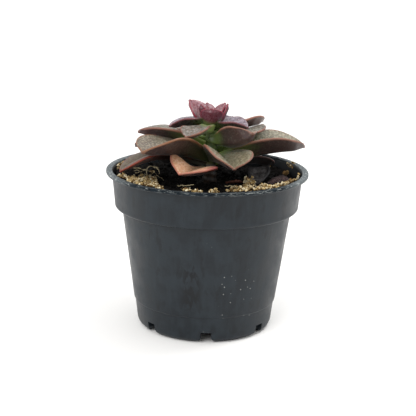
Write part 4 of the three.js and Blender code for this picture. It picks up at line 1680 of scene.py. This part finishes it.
@dataclass
class Stem:
    """The short fleshy stem, ringed by the scars of fallen leaves."""

    x: float = 1
    radius: float = 3.2
    bottom: float = 50
    top: float = 92.6
    narrowing: float = 2.6
    narrow_from: float = 82
    least_radius: float = 0.35
    scar: float = 0.14
    scar_pitch: float = 2.1
    scarred_from: Span = (62, 68)
    scarred_to: Span = (84, 90)
    rows: int = 120
    columns: int = 48

    def build(self) -> bpy.types.Object:
        """Makes the stem.

        Formula: rings about the stem's axis whose radius narrows towards the heart and swells a
        little at each scar, where the scars climb in a spiral.

        Returns:
            The stem's piece.
        """
        height = np.linspace(self.bottom, self.top, self.rows)[:, None]
        turn = np.linspace(0, FULL_TURN, self.columns, endpoint=False)[None]
        narrow = self.radius - self.narrowing * smooth(self.narrow_from, self.top, height)
        scars = self.scar * np.cos(height * self.scar_pitch + turn)
        scars *= 1 - smooth(*self.scarred_to, height)
        scars *= smooth(*self.scarred_from, height)
        radius = np.maximum(narrow + scars - self.scar, self.least_radius)
        rings = polar(radius, turn, height) + np.array([self.x, 0, 0])
        return loft(rings).make("stem_flesh", "stem_green", ["stem"],
                                materials=[StemFlesh().material()])


def living_leaves() -> dict[str, list[Leaf]]:
    """The rosette's leaves, from the heart outwards.

    Returns:
        The leaves by their material slot.
    """
    look = LeafLook
    # A leaf's row holds its fields from the azimuth on.
    rings = {
        "heart": (
            (157, 90.9, 12.6, 12.2, 53, 59, 34, 18, -13, 2, look.HEART, POINTED),
            (275, 94, 6.5, 10.4, 35, 77, 24, 11, -1, -13, look.HEART, CUPPED),
            (41, 91.7, 9.6, 7.6, 55, 65, 38, 17, -10, -1, look.HEART),
            (12, 91.8, 9.4, 4.8, 52, 74, 30, 12, 4, 0, look.HEART),
            (212, 92.4, 8.4, 5.5, 66, 82, 36, 20, 0, 0, look.HEART, POINTED),
            (104, 92.2, 8.4, 7, 52, 70, 36, 20, 0, 0, look.HEART),
        ),
        "upper": (
            (342, 92, 13.4, 13.6, -5, 2, 41, 15, 1, 3, look.MAUVE),
            (187, 93.4, 14.9, 12.4, -7, -11, 42, 3, 7, 3, look.MAUVE, POINTED),
            (50, 90.4, 10.5, 9, 8, 24, 36, 16, 0, 0, look.MAUVE, BLUNT),
            (118, 90.6, 13, 11.5, 0, 2, 38, 18, 0, 0, look.MAUVE),
        ),
        "middle": (
            (248, 91.5, 16.3, 14.6, 0, -18, 14, 18, 3, -24, look.JADE, APRON, 3),
            (37, 88, 26.6, 15.6, 7, 4, 40, 1, -15, 3, look.BLUSH),
            (17, 88.4, 22.2, 15.6, -4, 15, 9, -32, -11, 14, look.SILVER, SCOOP),
            (306, 85, 24.3, 19.8, -13, 50, 68, 16, -20, 20, look.OLIVE, KEEL),
            (175, 83.6, 28.8, 18.5, 16, -2, 32, 5, 7, 4, look.SILVER),
            (88, 86, 27, 17, 1, 2, 36, 16, 0, 2, look.OLIVE),
            (131, 85, 26, 17, -2, -4, 36, 14, 2, 2, look.SILVER),
        ),
        "outer": (
            (216, 79, 34.6, 24.8, 15, 0, 33, 21, 5, 9, look.UMBER, BROAD),
            (297, 77.4, 23.4, 26.4, 0, 0, 53, 13, -9, -9, look.MOSS, ROUND, 2.7),
            (7, 76.4, 40.2, 21.6, 10, 2, 55, 35, 3, 12, look.OLIVE, POINTED),
            (62, 80, 33, 21, 5, 0, 40, 22, 2, 3, look.OLIVE),
            (110, 80.5, 32, 21, 3, 1, 40, 20, 0, 3, look.OLIVE),
            (157, 79, 33, 20, 1, -2, 40, 20, -2, 2, look.OLIVE),
        ),
        "low": (
            (253, 71.7, 28, 26.4, 5, 10, 50, 9, -9, -15, look.SALMON, SPATHULATE, 1.8),
            (195, 75.9, 39.6, 17, 19, -33, 25, -3, 8, 12, look.AGEING, PADDLE),
            (30, 74, 31, 15, 6, -22, 34, 16, 0, 4, look.SHADED),
            (88, 74.5, 27, 17, 6, -20, 32, 14, 0, 3, look.SHADED),
            (138, 74, 28, 17, 4, -24, 32, 14, 0, -3, look.SHADED),
        ),
    }
    leaves = {ring: [Leaf(f"leaf_{ring}_{number}", *row) for number, row in enumerate(rows, 1)]
              for ring, rows in rings.items()}
    return {"leaf_heart": leaves["heart"], "leaf_inner": leaves["upper"],
            "leaf_outer": leaves["middle"] + leaves["outer"], "leaf_low": leaves["low"]}


def withered_leaves() -> dict[str, tuple[Leaf, DryFinish]]:
    """The fallen leaves on the soil.

    Returns:
        Each leaf and its finish, by its material slot.
    """
    return {
        "dry_leaf_grey": (
            Leaf("dry_leaf_grey", 68, 66.1, 15, 12, 10, 24, 8, 58, -8, 25, thick=0.9,
                 start=(21, -7), crumple=0.45), DryFinish("grey", "6a6869", "272627")),
        "dry_leaf_purple": (
            Leaf("dry_leaf_purple", 12, 66.4, 12.5, 8, 18, -30, 46, 4, 14, 30, thick=1.2,
                 start=(27, -8), crumple=0.8), DryFinish("purple", "3a2829", "1b1112")),
        "dry_leaf_red": (
            Leaf("dry_leaf_red", 4, 66, 6.5, 3, 12, -12, 30, 10, 0, 10, thick=0.9,
                 start=(8.2, -4), crumple=0.4), DryFinish("red", "6b3c2c", "35190f")),
    }


@dataclass
class Rosette:
    """The living leaves, the stem and the fallen leaves."""

    seed: int = 500

    def build(self) -> None:
        """Makes every leaf with the material of its look, and the stem."""
        materials = {look: look.value.material() for look in LeafLook}
        jobs = [(leaf, materials[leaf.look], slot)
                for slot, leaves in living_leaves().items() for leaf in leaves]
        jobs += [(leaf, finish.material(), slot)
                 for slot, (leaf, finish) in withered_leaves().items()]
        for number, (leaf, material, slot) in enumerate(jobs, self.seed):
            leaf.build(number, material, slot)
        Stem().build()


# The studio.

def stand(thing: bpy.types.Object, axes: Array, place: Array) -> None:
    """Puts a camera or a lamp into the scene.

    Args:
        thing: what to place.
        axes: its own x, y and z directions, as columns.
        place: where it stands, in metres.
    """
    placed = np.eye(4)
    placed[:3, :3], placed[:3, 3] = axes, place
    thing.matrix_world = Matrix(placed.tolist())
    bpy.context.scene.collection.objects.link(thing)


@dataclass(frozen=True)
class PhotoCamera:
    """A camera at the photograph's place, in mm: it stands in front and above, looking down."""

    eye: Point = (0, -500, 186.26)
    aim: Point = (0.675, 0, 53.19)
    roll: float = 1.387
    focal_px: float = 1151
    image_px: float = 416
    sensor: float = 36

    def build(self) -> bpy.types.Object:
        """Makes the camera and hands it to the scene.

        Returns:
            The camera.
        """
        eye, aim = np.array(self.eye, float), np.array(self.aim, float)
        ahead = (aim - eye) / np.linalg.norm(aim - eye)
        right = np.cross(ahead, [0, 0, 1])
        right /= np.linalg.norm(right)
        up = np.cross(right, ahead)
        c, s = math.cos(math.radians(self.roll)), math.sin(math.radians(self.roll))
        data = bpy.data.cameras.new("camera")
        data.sensor_width, data.lens = self.sensor, self.sensor * self.focal_px / self.image_px
        data.clip_start, data.clip_end = 0.01, 50
        camera = bpy.data.objects.new("camera", data)
        stand(camera, np.stack([c * right + s * up, -s * right + c * up, -ahead], axis=1), eye * MM)
        bpy.context.scene.camera = camera
        return camera


@dataclass(frozen=True)
class Lamp:
    """A lamp that shines from its place towards its aim, both in metres.

    A sun's size is the angle, in degrees, that it fills in the sky, and its power is in watts
    per square metre. A soft box's size is its side in metres, and its power is in watts.
    """

    name: str
    kind: str
    place: Point
    size: float
    power: float
    aim: Point = (0, 0, 0.05)

    def build(self) -> bpy.types.Object:
        """Makes the lamp and turns it towards its aim.

        Returns:
            The lamp.
        """
        data = bpy.data.lights.new(self.name, self.kind)
        data.energy = self.power
        if self.kind == "SUN":
            data.angle = math.radians(self.size)
        else:
            data.shape, data.size = "SQUARE", self.size
        light = bpy.data.objects.new(self.name, data)
        back = np.array(self.place) - np.array(self.aim)
        back /= np.linalg.norm(back)
        right = np.cross([0.001, 0.002, 1], back)
        right /= np.linalg.norm(right)
        stand(light, np.stack([right, np.cross(back, right), back], axis=1), self.place)
        return light


@dataclass(frozen=True)
class Studio:
    """A plain white floor in white surroundings that are dimmer in front, with soft lamps."""

    floor_half: float = 6.0
    floor_colour: str = "fbfaf8"
    surround_front: float = 0.8
    surround_back: float = 1.05
    dimmed: Span = (-0.95, 0.1)
    lamps: tuple[Lamp, ...] = (
        Lamp("soft_sun", "SUN", (-0.45, -0.8, 0.75), 38, 1.3),
        Lamp("key_left", "AREA", (-0.3, -0.3, 0.5), 0.16, 0.35),
        Lamp("top_right", "AREA", (0.24, 0.05, 0.5), 0.16, 1.0),
    )

    def floor(self) -> bpy.types.Object:
        """Makes the floor, one wide square.

        Returns:
            The floor.
        """
        half = self.floor_half
        corners = [(-half, -half, 0), (half, -half, 0), (half, half, 0), (-half, half, 0)]
        mesh = bpy.data.meshes.new("floor")
        mesh.from_pydata(corners, [], [(0, 1, 2, 3)])
        floor = bpy.data.objects.new("floor", mesh)
        bpy.context.scene.collection.objects.link(floor)
        floor.data.materials.append(
            Shader("floor").done(colour=ink(self.floor_colour), roughness=0.95, specular=0.1))
        return floor

    def surroundings(self) -> None:
        """Makes the world: white behind and above, and dimmer towards the front."""
        world = bpy.data.worlds.new("surroundings")
        world.use_nodes = True
        nodes, links = world.node_tree.nodes, world.node_tree.links
        back = nodes["Background"]
        back.inputs["Color"].default_value = (1, 1, 1, 1)
        way, apart, span = (nodes.new(f"ShaderNode{kind}")
                            for kind in ("TexCoord", "SeparateXYZ", "MapRange"))
        span.interpolation_type = "SMOOTHSTEP"
        links.new(way.outputs["Generated"], apart.inputs[0])
        links.new(apart.outputs["Y"], span.inputs["Value"])
        names = ("From Min", "From Max", "To Min", "To Max")
        for name, number in zip(names, (*self.dimmed, self.surround_front, self.surround_back)):
            span.inputs[name].default_value = number
        links.new(span.outputs["Result"], back.inputs["Strength"])
        bpy.context.scene.world = world

    def build(self) -> None:
        """Makes the floor, the surroundings and the lamps."""
        self.floor()
        self.surroundings()
        bpy.context.scene.view_settings.view_transform = "Standard"
        for lamp in self.lamps:
            lamp.build()


def main() -> None:
    """Builds the camera, the pot, the soil and what lies on it, the plant and the studio."""
    logging.basicConfig(level=logging.INFO, format="%(name)s %(message)s")
    PhotoCamera().build()
    pot = Pot()
    pot.build()
    soil = Soil(pot)
    soil.build()
    grit = GritStone().material()
    for drift in grit_drifts(soil):
        drift.build(grit)
    Fibres(soil).build()
    Rosette().build()
    Studio().build()


if __name__ == "__main__":
    main()
